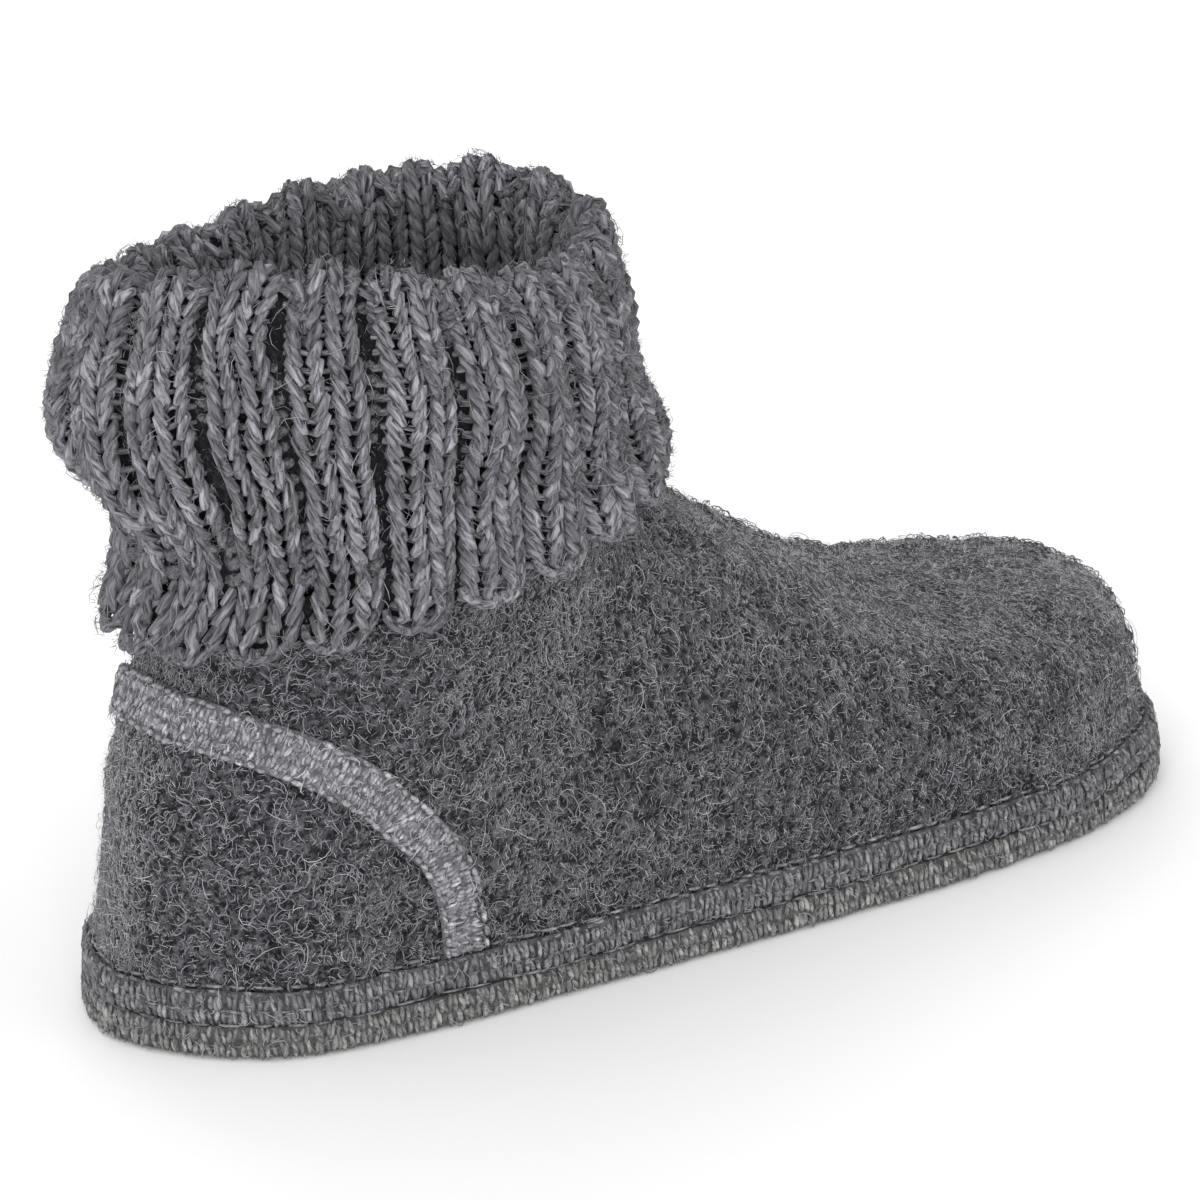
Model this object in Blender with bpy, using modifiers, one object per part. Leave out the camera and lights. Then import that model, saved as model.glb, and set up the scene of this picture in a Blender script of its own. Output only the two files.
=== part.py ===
"""Hut slipper for the right foot: felt shell, turned-down rib-knit cuff, knitted tapes, felt sole.

Tables are in millimetres with the heel near x = 0, the toe along +X and the outer side of the foot
along -Y. The finished solids are in metres, with the origin at the bottom centre of the whole box.
"""
import bpy
import bmesh
import numpy as np

NAME = "hut_slipper"
MM = 0.001
GAP = 0.3              # air between neighbouring pieces
FELT_WALL = 3.0        # felt of the shell
SOLE_TOP = 6.7         # thickness of the felt slab
FOOT = SOLE_TOP + GAP  # height at which the felt stands
TAPE_TOP = 13.4        # upper edge of the edge tapes
INSOLE = 3.0           # footbed
SPRING = 1.5           # rise of the sole at the toe tip
SPRING_FROM = 205.0    # where the toe spring starts
KNIT = 4.0             # one layer of the cuff
RIBS = 20              # ribs round the cuff
RIB_RISE = 1.3         # how far a rib stands out
RIB_TROUGH = 2.327     # angle of one trough on the outer side
COUNTER_HALF = 4.7     # half the width of the counter tape
COUNTER_RISE = 1.8     # thickness of the counter tape
COLUMNS = 60           # steps round the foot

# station: x, outer y, inner y at the foot of the felt, then the section's handles:
# wall handle (share of the rise), crown handle (share of the reach), lean of the wall, drop at the top
STATIONS = (
    ("toe_tip", 266.2, 7.0, 7.0, 0.80, 0.66, 3.0, 0.0),
    ("toe_round", 259.5, -17.0, 29.0, 0.80, 0.66, 3.0, 0.0),
    ("toe_side", 242.0, -35.5, 43.0, 0.78, 0.64, 3.0, 0.0),
    ("toe_joint", 215.0, -44.5, 48.0, 0.75, 0.60, 3.0, 0.0),
    ("ball", 184.0, -46.5, 48.0, 0.72, 0.56, 3.0, 2.0),
    ("instep", 150.0, -44.5, 43.0, 0.64, 0.50, 2.0, 8.0),
    ("waist", 116.0, -41.5, 37.0, 0.55, 0.45, 2.0, 30.0),
    ("ankle", 81.0, -38.0, 34.0, 0.50, 0.40, 2.0, 75.0),
    ("heel_front", 49.0, -34.5, 33.5, 0.42, 0.40, 1.0, 82.0),
    ("heel_side", 20.0, -25.5, 26.5, 0.36, 0.40, 0.0, 84.0),
    ("heel_back", 5.0, 0.0, 0.0, 0.34, 0.40, 0.0, 84.0),
)
# x, y, z of the ridge on which the two half sections meet, station by station up to the throat
RIDGE = (
    ("toe_tip", 228.0, 6.0, 43.0),
    ("toe_round", 228.0, 6.0, 43.0),
    ("toe_side", 226.0, 6.0, 43.5),
    ("toe_joint", 213.0, 5.0, 46.0),
    ("ball", 186.0, 3.0, 54.3),
    ("instep", 152.0, 1.0, 74.0),
    ("throat", 120.0, 0.0, 96.0),
)
COLLAR = {"x": 68.5, "long": 51.5, "wide": 34.0, "front": 96.0, "back": 86.0}
# row of the cuff from the seam up the inside, over the fold and down to the hem:
# back x, front x, half width, back z, front z, lift on the outer side, lift on the inner front
CUFF = (
    ("seam", 21.0, 113.0, 29.5, 86.5, 96.5, 0.0, 0.0),
    ("inside", 19.5, 109.5, 30.0, 115.0, 116.0, 3.0, 2.0),
    ("inside_top", 15.5, 107.5, 30.5, 133.5, 134.0, 7.5, 6.0),
    ("fold", 10.5, 113.0, 35.0, 142.8, 144.0, 10.0, 7.5),
    ("shoulder", 5.0, 119.5, 40.5, 139.0, 139.0, 9.0, 7.0),
    ("bulge", -1.0, 122.5, 44.0, 125.0, 124.0, 5.0, 3.0),
    ("middle", 3.0, 126.0, 43.5, 107.0, 112.0, 2.0, 1.0),
    ("pinch", 12.8, 131.5, 41.5, 93.0, 104.0, 0.0, 0.0),
    ("hem", 7.8, 134.0, 42.5, 77.5, 93.5, 0.0, 0.0),
)
CUFF_MIDDLE = 62.0     # x at which the ribs of the two sides stand upright
HEM_SLIP = 0.07        # angle by which the hem has slipped forward on the outer side
SLIP_ROW = 5.0         # row of the cuff below which it slips
LIFT_OUTER = 2.3       # angle at which the outer side of the fold stands highest
LIFT_INNER = -0.5      # angle at which the inner front of the fold stands highest
# centre line of the counter tape on one side: station number, share of the section's rise
COUNTER = (
    (10.0, 0.745),
    (9.5, 0.725),
    (9.0, 0.655),
    (8.6, 0.555),
    (8.24, 0.415),
    (8.0, 0.320),
    (7.85, 0.240),
    (7.74, 0.150),
    (7.70, 0.100),
    (7.68, 0.064),
)
# colour of each piece for the plain view
COLOURS = {
    "upper": (0.23, 0.23, 0.24),
    "cuff": (0.20, 0.20, 0.20),
    "counter_tape": (0.28, 0.28, 0.28),
    "binding": (0.26, 0.26, 0.26),
    "sole_tape": (0.20, 0.20, 0.19),
    "sole": (0.16, 0.16, 0.16),
    "insole": (0.30, 0.30, 0.30),
}

LAST = len(STATIONS) - 1
TURN = 2 * LAST
COLUMN = np.array([row[1:] for row in STATIONS])
RIDGE_ROWS = np.array([row[1:] for row in RIDGE])
CUFF_ROWS = np.array([row[1:] for row in CUFF])


def spline(rows, at, closed=False):
    """Smooth curve through the rows at fractional row numbers."""
    rows = np.asarray(rows, float)
    at = np.asarray(at, float)
    if closed:
        first = np.floor(at).astype(int)
        a, b, c, d = (rows[(first + k) % len(rows)] for k in (-1, 0, 1, 2))
    else:
        first = np.clip(np.floor(at).astype(int), 0, len(rows) - 2)
        ends = np.vstack([2 * rows[0] - rows[1], rows, 2 * rows[-1] - rows[-2]])
        a, b, c, d = (ends[first + k] for k in (0, 1, 2, 3))
    f = (at - first)[..., None]
    return 0.5 * (2 * b + (c - a) * f + (2 * a - 5 * b + 4 * c - d) * f**2 + (3 * b - a - 3 * c + d) * f**3)


def outline(at, grow=0.0):
    """Plan of the foot: 0 at the toe tip, outer side first, LAST at the heel back."""
    outer = COLUMN[:, [0, 1]]
    inner = COLUMN[1:-1, [0, 2]][::-1]
    ring = np.vstack([outer, inner])
    along = spline(ring, at + 0.001, True) - spline(ring, at - 0.001, True)
    along /= np.linalg.norm(along, axis=-1, keepdims=True)
    out = np.stack([-along[..., 1], along[..., 0]], -1)
    return spline(ring, at, True) + grow * out, out


def spring(x):
    """Rise of the sole towards the toe."""
    reach = COLUMN[0, 0] - SPRING_FROM
    return SPRING * np.clip((x - SPRING_FROM) / reach, 0.0, None)**2


def top_of_section(at):
    """Where each half section ends: on the ridge, and behind the throat on the collar."""
    at = np.mod(at, TURN)
    side = np.where(at <= LAST, -1.0, 1.0)
    station = np.where(at <= LAST, at, TURN - at)
    throat = len(RIDGE_ROWS) - 1
    ridge = spline(RIDGE_ROWS, np.clip(station, 0, throat))
    angle = np.pi * np.clip((station - throat) / (LAST - throat), 0, 1)
    x = COLLAR["x"] + COLLAR["long"] * np.cos(angle)
    y = side * COLLAR["wide"] * np.sin(angle)
    z = COLLAR["back"] + (COLLAR["front"] - COLLAR["back"]) * (1 + np.cos(angle)) / 2
    collar = np.stack([x, y, z], -1)
    return np.where((station < throat)[..., None], ridge, collar), station


def felt(at, rise):
    """Outside of the felt: at round the foot, rise from 0 at the sole to 1 at the top."""
    at, rise = np.broadcast_arrays(np.asarray(at, float), np.asarray(rise, float))
    plan, out = outline(at)
    top, station = top_of_section(at)
    foot = np.concatenate([plan, (FOOT + spring(plan[..., 0]))[..., None]], -1)
    wall, crown, lean, drop = (np.interp(station, range(LAST + 1), COLUMN[:, k]) for k in (3, 4, 5, 6))
    height = top[..., 2] - foot[..., 2]
    up = np.zeros_like(foot)
    up[..., :2] = out * lean[..., None]
    up[..., 2] = wall * height
    flat = foot[..., :2] - top[..., :2]
    reach = np.linalg.norm(flat, axis=-1)
    drop = np.radians(drop)
    handle = np.hypot(reach * np.cos(drop), height * np.sin(drop)) * crown
    down = np.zeros_like(foot)
    down[..., :2] = flat / np.maximum(reach, 0.001)[..., None] * (np.cos(drop) * handle)[..., None]
    down[..., 2] = -np.sin(drop) * handle
    s = rise[..., None]
    inner_part = 3 * (1 - s)**2 * s * (foot + up) + 3 * (1 - s) * s**2 * (top + down)
    return (1 - s)**3 * foot + inner_part + s**3 * top


def felt_normal(at, rise):
    """Unit normal of the felt, pointing out."""
    low = np.clip(np.asarray(rise) - 0.004, 0.0, None)
    along = felt(at + 0.01, rise) - felt(at - 0.01, rise)
    up = felt(at, rise + 0.004) - felt(at, low)
    normal = np.cross(up, along)
    return normal / np.linalg.norm(normal, axis=-1, keepdims=True)


def rise_at_height(at, height):
    """Share of the section's rise at which the felt reaches a height above the sole's top."""
    trial = np.linspace(0.0, 0.5, 101)
    z = felt(at[:, None], trial[None, :])[..., 2] - spring(outline(at)[0][:, 0])[:, None]
    return np.array([np.interp(height, row, trial) for row in z])


def cuff_ring(angle, row):
    """Outside of the cuff: angle 0 at the front, a quarter turn at the outer side."""
    back, front, half, z_back, z_front, outer, inner = np.moveaxis(spline(CUFF_ROWS, row), -1, 0)
    middle, long = (back + front) / 2, (front - back) / 2
    angle = angle + (middle - CUFF_MIDDLE) / long * np.sin(angle)
    x = middle + long * np.cos(angle)
    z = z_back + (z_front - z_back) * (1 + np.cos(angle)) / 2
    z = z + outer * np.clip(np.cos(angle - LIFT_OUTER), 0, 1)**2
    z = z + inner * np.clip(np.cos(angle - LIFT_INNER), 0, 1)**2
    return np.stack([x, -half * np.sin(angle), z], -1)


def cuff_normal(angle, row):
    """Unit normal of the cuff, away from the knit."""
    low = np.clip(row - 0.02, 0, None)
    high = np.clip(row + 0.02, None, len(CUFF) - 1)
    round_it = cuff_ring(angle + 0.01, row) - cuff_ring(angle - 0.01, row)
    along = cuff_ring(angle, high) - cuff_ring(angle, low)
    normal = np.cross(round_it, along)
    return normal / np.linalg.norm(normal, axis=-1, keepdims=True)


def rib_angles():
    """Angles of the rib corners, evenly spaced along the ring: four corners to a rib."""
    dense = np.linspace(0.0, 2 * np.pi, 1441)
    ring = cuff_ring(dense, np.full_like(dense, 5.5))
    length = np.concatenate([[0.0], np.cumsum(np.linalg.norm(np.diff(ring, axis=0), axis=1))])
    start = np.interp(RIB_TROUGH, dense, length) / length[-1]
    corners = (np.array([-0.10, 0.10, 0.34, 0.66]) + np.arange(RIBS)[:, None]).ravel() / RIBS
    share = np.sort(np.mod(start + corners, 1.0))
    raised = np.mod((share - start) * RIBS + 0.2, 1.0) > 0.45
    return np.interp(share * length[-1], length, dense), raised


def sheet_solid(outer, inner, closed):
    """Solid between two grids of points; closed joins the last column to the first."""
    columns, rows = outer.shape[:2]
    points = np.concatenate([outer.reshape(-1, 3), inner.reshape(-1, 3)])

    def index(column, row, far):
        return far * columns * rows + (column % columns) * rows + row

    faces = []
    for c in range(columns if closed else columns - 1):
        for r in range(rows - 1):
            faces.append([index(c, r, 0), index(c + 1, r, 0), index(c + 1, r + 1, 0), index(c, r + 1, 0)])
            faces.append([index(c, r, 1), index(c, r + 1, 1), index(c + 1, r + 1, 1), index(c + 1, r, 1)])
        for r in (0, rows - 1):
            faces.append([index(c, r, 0), index(c, r, 1), index(c + 1, r, 1), index(c + 1, r, 0)])
    if not closed:
        for c in (0, columns - 1):
            for r in range(rows - 1):
                faces.append([index(c, r, 0), index(c, r + 1, 0), index(c, r + 1, 1), index(c, r, 1)])
    return points, faces


def ring_solid(rings):
    """Closed hoop through rings of points, the last ring joined to the first."""
    count = len(rings[0])
    faces = []
    for k in range(len(rings)):
        for c in range(count):
            d = (c + 1) % count
            m = (k + 1) % len(rings)
            faces.append([k * count + c, k * count + d, m * count + d, m * count + c])
    return np.concatenate(rings), faces


def slab_solid(rings):
    """Slab through rings of points, closed above and below by strips across the foot."""
    count = len(rings[0])
    points, faces = ring_solid(rings)
    faces = faces[:-count]
    for base in (0, (len(rings) - 1) * count):
        for c in range(count // 2):
            strip = [c, c + 1, (count - c - 1) % count, (count - c) % count]
            faces.append([base + k for k in dict.fromkeys(strip)])
    return points, faces


def plan_rings(profile, at):
    """Rings round the foot for a profile of (grow, z) corners."""
    rings = []
    for grow, z in profile:
        plan = outline(at, grow)[0]
        rings.append(np.column_stack([plan, z + spring(plan[:, 0])]))
    return rings


def make_upper(at):
    """Outside of the felt as one sheet; its wall is added inwards by a modifier."""
    rise = np.array([0.0, 0.10, 0.22, 0.36, 0.50, 0.64, 0.78, 0.90, 1.0])
    grid = felt(at[:, None], rise[None, :])
    columns, rows = grid.shape[:2]
    faces = []
    for c in range(columns):
        d = (c + 1) % columns
        for r in range(rows - 1):
            faces.append([c * rows + r, d * rows + r, d * rows + r + 1, c * rows + r + 1])
    return grid.reshape(-1, 3), faces


def make_cuff():
    """Turned-down cuff: one knitted wall with its ribs raised."""
    angle, raised = rib_angles()
    row = np.array([0.0, 0.9, 1.7, 2.3, 2.75, 3.2, 3.7, 4.4, 5.2, 6.1, 7.0, 8.0])
    a, r = np.meshgrid(angle, row, indexing="ij")
    a = a - HEM_SLIP * np.clip((r - SLIP_ROW) / (len(CUFF) - 1 - SLIP_ROW), 0.0, 1.0)
    normal = cuff_normal(a, r)
    middle = cuff_ring(a, r)
    rib = np.where(raised, 0.5, -0.5)[:, None] * RIB_RISE
    outer = middle + normal * rib[..., None]
    inner = middle - normal * KNIT
    return sheet_solid(outer, inner, True)


def make_counter():
    """Counter tape laid on the felt: sole, over the heel, sole."""
    rows = np.array(COUNTER)
    side = spline(rows, np.linspace(0, len(rows) - 1, 23))
    other = side[1:] * [-1, 1] + [TURN, 0]
    line = np.concatenate([side[::-1], other])
    at, rise = line[:, 0], line[:, 1]
    d_at = felt(at + 0.01, rise) - felt(at - 0.01, rise)
    d_rise = felt(at, rise + 0.005) - felt(at, rise - 0.005)
    along = np.gradient(felt(at, rise), axis=0)
    across = np.cross(felt_normal(at, rise), along)
    across /= np.linalg.norm(across, axis=1, keepdims=True)
    step = []
    for u, v, w in zip(d_at / 0.02, d_rise / 0.01, across):
        step.append(np.linalg.lstsq(np.column_stack([u, v]), w, rcond=None)[0])
    step = np.array(step)
    offset = np.array([-1.0, -0.75, 0.75, 1.0]) * COUNTER_HALF
    height = np.array([0.6, 1.0, 1.0, 0.6]) * COUNTER_RISE
    a = at[:, None] + step[:, :1] * offset
    r = rise[:, None] + step[:, 1:] * offset
    normal = felt_normal(a, r)
    base = felt(a, r) + normal * GAP
    return sheet_solid(base + normal * height[None, :, None], base, False)


def make_binding(at):
    """Upper edge tape, following the foot of the felt."""
    profile = ((7.0, GAP), (7.1, 1.7), (8.6, 2.6), (11.4, 2.6), (13.0, 1.7), (TAPE_TOP, GAP))
    rings = []
    for height, out in profile:
        rise = rise_at_height(at, height)
        rings.append(felt(at, rise) + felt_normal(at, rise) * [[1, 1, 0]] * out)
    return ring_solid(rings)


def make_sole_tape(at):
    """Lower edge tape round the rim of the sole."""
    profile = ((0.8, 0.4), (2.1, 0.4), (3.0, 1.7), (3.2, 3.4), (3.0, 5.2), (2.1, 6.4), (0.8, 6.4))
    return ring_solid(plan_rings(profile, at))


def make_sole(at):
    """Felt slab with a flat bottom and a small toe spring."""
    return slab_solid(plan_rings(((0.0, 0.0), (0.5, 0.5), (0.5, SOLE_TOP)), at))


def make_insole(at):
    """Footbed inside the felt."""
    top = FOOT + INSOLE
    return slab_solid(plan_rings(((-3.9, FOOT), (-3.9, top - 0.8), (-4.7, top)), at))


def place(name, points, faces, collection):
    """One named object with its own material, faces pointing out."""
    mesh = bpy.data.meshes.new(name)
    mesh.from_pydata((points * MM).tolist(), [], faces)
    bm = bmesh.new()
    bm.from_mesh(mesh)
    bmesh.ops.remove_doubles(bm, verts=bm.verts, dist=0.00002)
    bmesh.ops.dissolve_degenerate(bm, edges=bm.edges, dist=0.00001)
    bmesh.ops.recalc_face_normals(bm, faces=bm.faces)
    bm.to_mesh(mesh)
    bm.free()
    material = bpy.data.materials.new(name + "_stuff")
    material.use_nodes = True
    shader = material.node_tree.nodes["Principled BSDF"]
    shader.inputs["Base Color"].default_value = COLOURS[name] + (1.0,)
    shader.inputs["Roughness"].default_value = 0.9
    mesh.materials.append(material)
    part = bpy.data.objects.new(name, mesh)
    collection.objects.link(part)
    return part


def main():
    """Build every piece, then shift them so that the box stands centred on the origin."""
    for old in list(bpy.data.objects):
        bpy.data.objects.remove(old, do_unlink=True)
    collection = bpy.data.collections.new(NAME)
    bpy.context.scene.collection.children.link(collection)
    at = np.arange(COLUMNS) * TURN / COLUMNS
    pieces = {
        "upper": make_upper(at),
        "cuff": make_cuff(),
        "counter_tape": make_counter(),
        "binding": make_binding(at),
        "sole_tape": make_sole_tape(at),
        "sole": make_sole(at),
        "insole": make_insole(at),
    }
    everything = np.concatenate([points for points, faces in pieces.values()])
    low, high = everything.min(axis=0), everything.max(axis=0)
    origin = np.array([(low[0] + high[0]) / 2, (low[1] + high[1]) / 2, low[2]])
    for name, (points, faces) in pieces.items():
        part = place(name, points - origin, faces, collection)
        if name == "upper":
            wall = part.modifiers.new("wall", "SOLIDIFY")
            wall.thickness = FELT_WALL * MM
            wall.offset = -1.0


main()
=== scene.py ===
"""Looks of the hut slipper: boiled-wool shell, turned-down rib knit, knitted edge tapes and felt sole.

Sizes in the tables are millimetres with the heel near x = 0, the toe along +X and the outer side of the
foot along -Y, as in the part's source. to_frame moves them into the frame's metres.
"""

import bpy
import numpy as np
from bpy.props import FloatProperty, FloatVectorProperty, IntProperty, PointerProperty
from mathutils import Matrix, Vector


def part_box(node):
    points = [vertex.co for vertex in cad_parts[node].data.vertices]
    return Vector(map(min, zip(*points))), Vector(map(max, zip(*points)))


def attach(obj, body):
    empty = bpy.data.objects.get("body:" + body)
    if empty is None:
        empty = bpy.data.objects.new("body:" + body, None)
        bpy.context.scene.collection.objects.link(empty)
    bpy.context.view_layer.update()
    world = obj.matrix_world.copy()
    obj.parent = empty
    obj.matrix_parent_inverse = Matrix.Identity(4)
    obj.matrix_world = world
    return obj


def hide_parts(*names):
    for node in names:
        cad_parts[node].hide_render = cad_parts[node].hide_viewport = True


bl_info = {
    "name": "Hut slipper",
    "version": (1, 0, 0),
    "blender": (4, 5, 0),
    "location": "View3D > Sidebar > Slipper",
    "description": "Boiled-wool hut slipper with a turned-down rib-knit cuff",
    "category": "Add Mesh",
}

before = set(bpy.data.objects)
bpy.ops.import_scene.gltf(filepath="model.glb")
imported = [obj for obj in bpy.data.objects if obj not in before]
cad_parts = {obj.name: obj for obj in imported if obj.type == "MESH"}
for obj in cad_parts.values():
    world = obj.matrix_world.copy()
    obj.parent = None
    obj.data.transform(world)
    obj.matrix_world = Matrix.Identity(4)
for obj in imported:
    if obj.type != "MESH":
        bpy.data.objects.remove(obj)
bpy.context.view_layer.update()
MM = 0.001
UV_NAME = "OFBake"
UV_CELLS = 8           # the stitches and hairs share the UV square in so many columns and rows

# Shape of the solids, repeated from the part's source
GAP = 0.3
FELT_WALL = 3.0
SOLE_TOP = 6.7
FOOT = SOLE_TOP + GAP
INSOLE_TOP = FOOT + 3.0
SPRING = 1.5
SPRING_FROM = 205.0
RIBS = 20
RIB_TROUGH = 2.327     # angle of a trough on the outer side
RIB_ROW = 5.5          # row of the cuff at which the ribs are evenly wide
COUNTER_HALF = 4.7
SOLE_TAPE_REACH = 3.2
RIM_POINTS = 60        # points round the rim of the sole tape

# Hairs of the felt
FELT_SINK = 0.5        # the felt's ground lies this far under the tips of its nap
NAP_LONG = 1.9         # length of the standing hairs of the felt
HEEL_FELT = (15.0, 70.0, 150.0)  # x from the back of the heel to where the felt is plain
HEEL_PALE = (0.85, 0.45, 0.0)    # how much paler the matted hairs are there
HEEL_FLAT = (0.4, 1.0, 1.0)      # and how high they stand
LONG_CURLS = 240       # long loose curls on each side of the felt
TAPE_TOP = 12.0        # hairs start at this height over the sole's bottom
HEM_LINE = ((10.0, 131.0), (83.0, 99.0))  # x and z of the line under the cuff's hem where they end

# Forms of felt and cuff, repeated from the part's source but for the felt's lumps and creases

# station: x, outer y, inner y, wall handle, crown handle, lean of the wall, drop at the top
STATIONS = (
    ("toe_tip", 266.2, 7.0, 7.0, 0.80, 0.66, 3.0, 0.0),
    ("toe_round", 259.5, -17.0, 29.0, 0.80, 0.66, 3.0, 0.0),
    ("toe_side", 242.0, -35.5, 43.0, 0.78, 0.64, 3.0, 0.0),
    ("toe_joint", 215.0, -44.5, 48.0, 0.75, 0.60, 3.0, 0.0),
    ("ball", 184.0, -46.5, 48.0, 0.72, 0.56, 3.0, 2.0),
    ("instep", 150.0, -44.5, 43.0, 0.64, 0.50, 2.0, 8.0),
    ("waist", 116.0, -41.5, 37.0, 0.55, 0.45, 2.0, 30.0),
    ("ankle", 81.0, -38.0, 34.0, 0.50, 0.40, 2.0, 75.0),
    ("heel_front", 49.0, -34.5, 33.5, 0.42, 0.40, 1.0, 82.0),
    ("heel_side", 20.0, -25.5, 26.5, 0.36, 0.40, 0.0, 84.0),
    ("heel_back", 5.0, 0.0, 0.0, 0.34, 0.40, 0.0, 84.0),
)
# x, y, z of the ridge from the toe to the throat
RIDGE = (
    ("toe_tip", 228.0, 6.0, 43.0),
    ("toe_round", 228.0, 6.0, 43.0),
    ("toe_side", 226.0, 6.0, 43.5),
    ("toe_joint", 213.0, 5.0, 46.0),
    ("ball", 186.0, 3.0, 54.3),
    ("instep", 152.0, 1.0, 74.0),
    ("throat", 120.0, 0.0, 96.0),
)
COLLAR = {"x": 68.5, "long": 51.5, "wide": 34.0, "front": 96.0, "back": 86.0}
# row of the cuff: back x, front x, half width, back z, front z, lifts of the outer side and inner front
CUFF = (
    ("seam", 21.0, 113.0, 29.5, 86.5, 96.5, 0.0, 0.0),
    ("inside", 19.5, 109.5, 30.0, 115.0, 116.0, 3.0, 2.0),
    ("inside_top", 15.5, 107.5, 30.5, 133.5, 134.0, 7.5, 6.0),
    ("fold", 10.5, 113.0, 35.0, 142.8, 144.0, 10.0, 7.5),
    ("shoulder", 5.0, 119.5, 40.5, 139.0, 139.0, 9.0, 7.0),
    ("bulge", -1.0, 122.5, 44.0, 125.0, 124.0, 5.0, 3.0),
    ("middle", 3.0, 126.0, 43.5, 107.0, 112.0, 2.0, 1.0),
    ("pinch", 12.8, 131.5, 41.5, 93.0, 104.0, 0.0, 0.0),
    ("hem", 7.8, 134.0, 42.5, 77.5, 93.5, 0.0, 0.0),
)
CUFF_MIDDLE = 62.0
HEM_SLIP = 0.07
SLIP_ROWS = (4.2, 7.2)
LIFT_OUTER = 2.3
LIFT_INNER = -0.5
# centre line of the counter tape on one side: station number, share of the section's rise
COUNTER = (
    (10.0, 0.745),
    (9.5, 0.725),
    (9.0, 0.655),
    (8.6, 0.555),
    (8.24, 0.415),
    (8.0, 0.320),
    (7.85, 0.240),
    (7.74, 0.150),
    (7.70, 0.100),
    (7.68, 0.064),
)
# soft lumps of the felt: height, size, seed
FELT_WAVES = ((0.45, 34.0, 3), (0.22, 13.0, 4))
# soft forms of the felt: from (at, rise), to (at, rise), half width, depth; a ridge has a depth below zero
CREASES = (
    ("vamp_break", (3.3, 0.72), (3.6, 1.0), 5.0, 1.3),
    ("vamp_break_inner", (16.7, 0.62), (16.6, 1.0), 5.0, 0.8),
    ("toe_fold", (1.9, 0.86), (2.9, 0.90), 2.4, 1.1),
    ("toe_fold_inner", (17.3, 0.72), (18.4, 0.70), 8.0, 1.6),
    ("instep_fold", (5.3, 0.55), (6.1, 0.82), 4.0, 0.8),
    ("heel_fold", (8.3, 0.80), (8.9, 0.86), 4.0, 0.8),
    ("toe_wall", (0.7, 0.13), (2.5, 0.13), 11.0, 2.8),
    ("heel_top", (9.1, 0.86), (10.9, 0.86), 13.0, 3.4),
    ("vamp_swell", (15.7, 0.86), (16.4, 0.90), 9.0, -1.4),
    ("toe_swell", (18.9, 0.70), (19.6, 0.66), 8.0, -1.0),
)

FINE = 1441            # points of a line that is measured along its length
LAST = len(STATIONS) - 1
TURN = 2 * LAST
COLUMN = np.array([row[1:] for row in STATIONS])
RIDGE_ROWS = np.array([row[1:] for row in RIDGE])
CUFF_ROWS = np.array([row[1:] for row in CUFF])


def spline(rows, at, closed=False):
    """Smooth curve through the rows at fractional row numbers."""
    rows = np.asarray(rows, float)
    at = np.asarray(at, float)
    if closed:
        first = np.floor(at).astype(int)
        a, b, c, d = (rows[(first + k) % len(rows)] for k in (-1, 0, 1, 2))
    else:
        first = np.clip(np.floor(at).astype(int), 0, len(rows) - 2)
        ends = np.vstack([2 * rows[0] - rows[1], rows, 2 * rows[-1] - rows[-2]])
        a, b, c, d = (ends[first + k] for k in (0, 1, 2, 3))
    f = (at - first)[..., None]
    return 0.5 * (2 * b + (c - a) * f + (2 * a - 5 * b + 4 * c - d) * f**2 + (3 * b - a - 3 * c + d) * f**3)


def unit(vectors):
    """Vectors of length one."""
    return vectors / np.maximum(np.linalg.norm(vectors, axis=-1, keepdims=True), 1e-9)


def outline(at, grow=0.0):
    """Plan of the foot: 0 at the toe tip, outer side first, LAST at the heel back."""
    outer = COLUMN[:, [0, 1]]
    inner = COLUMN[1:-1, [0, 2]][::-1]
    ring = np.vstack([outer, inner])
    along = unit(spline(ring, at + 0.001, True) - spline(ring, at - 0.001, True))
    out = np.stack([-along[..., 1], along[..., 0]], -1)
    return spline(ring, at, True) + np.asarray(grow)[..., None] * out, out


def spring(x):
    """Rise of the sole towards the toe."""
    reach = COLUMN[0, 0] - SPRING_FROM
    return SPRING * np.clip((x - SPRING_FROM) / reach, 0.0, None)**2


def top_of_section(at):
    """Where each half section ends: on the ridge, and behind the throat on the collar."""
    at = np.mod(at, TURN)
    side = np.where(at <= LAST, -1.0, 1.0)
    station = np.where(at <= LAST, at, TURN - at)
    throat = len(RIDGE_ROWS) - 1
    ridge = spline(RIDGE_ROWS, np.clip(station, 0, throat))
    angle = np.pi * np.clip((station - throat) / (LAST - throat), 0, 1)
    x = COLLAR["x"] + COLLAR["long"] * np.cos(angle)
    y = side * COLLAR["wide"] * np.sin(angle)
    z = COLLAR["back"] + (COLLAR["front"] - COLLAR["back"]) * (1 + np.cos(angle)) / 2
    collar = np.stack([x, y, z], -1)
    return np.where((station < throat)[..., None], ridge, collar), station


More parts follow.
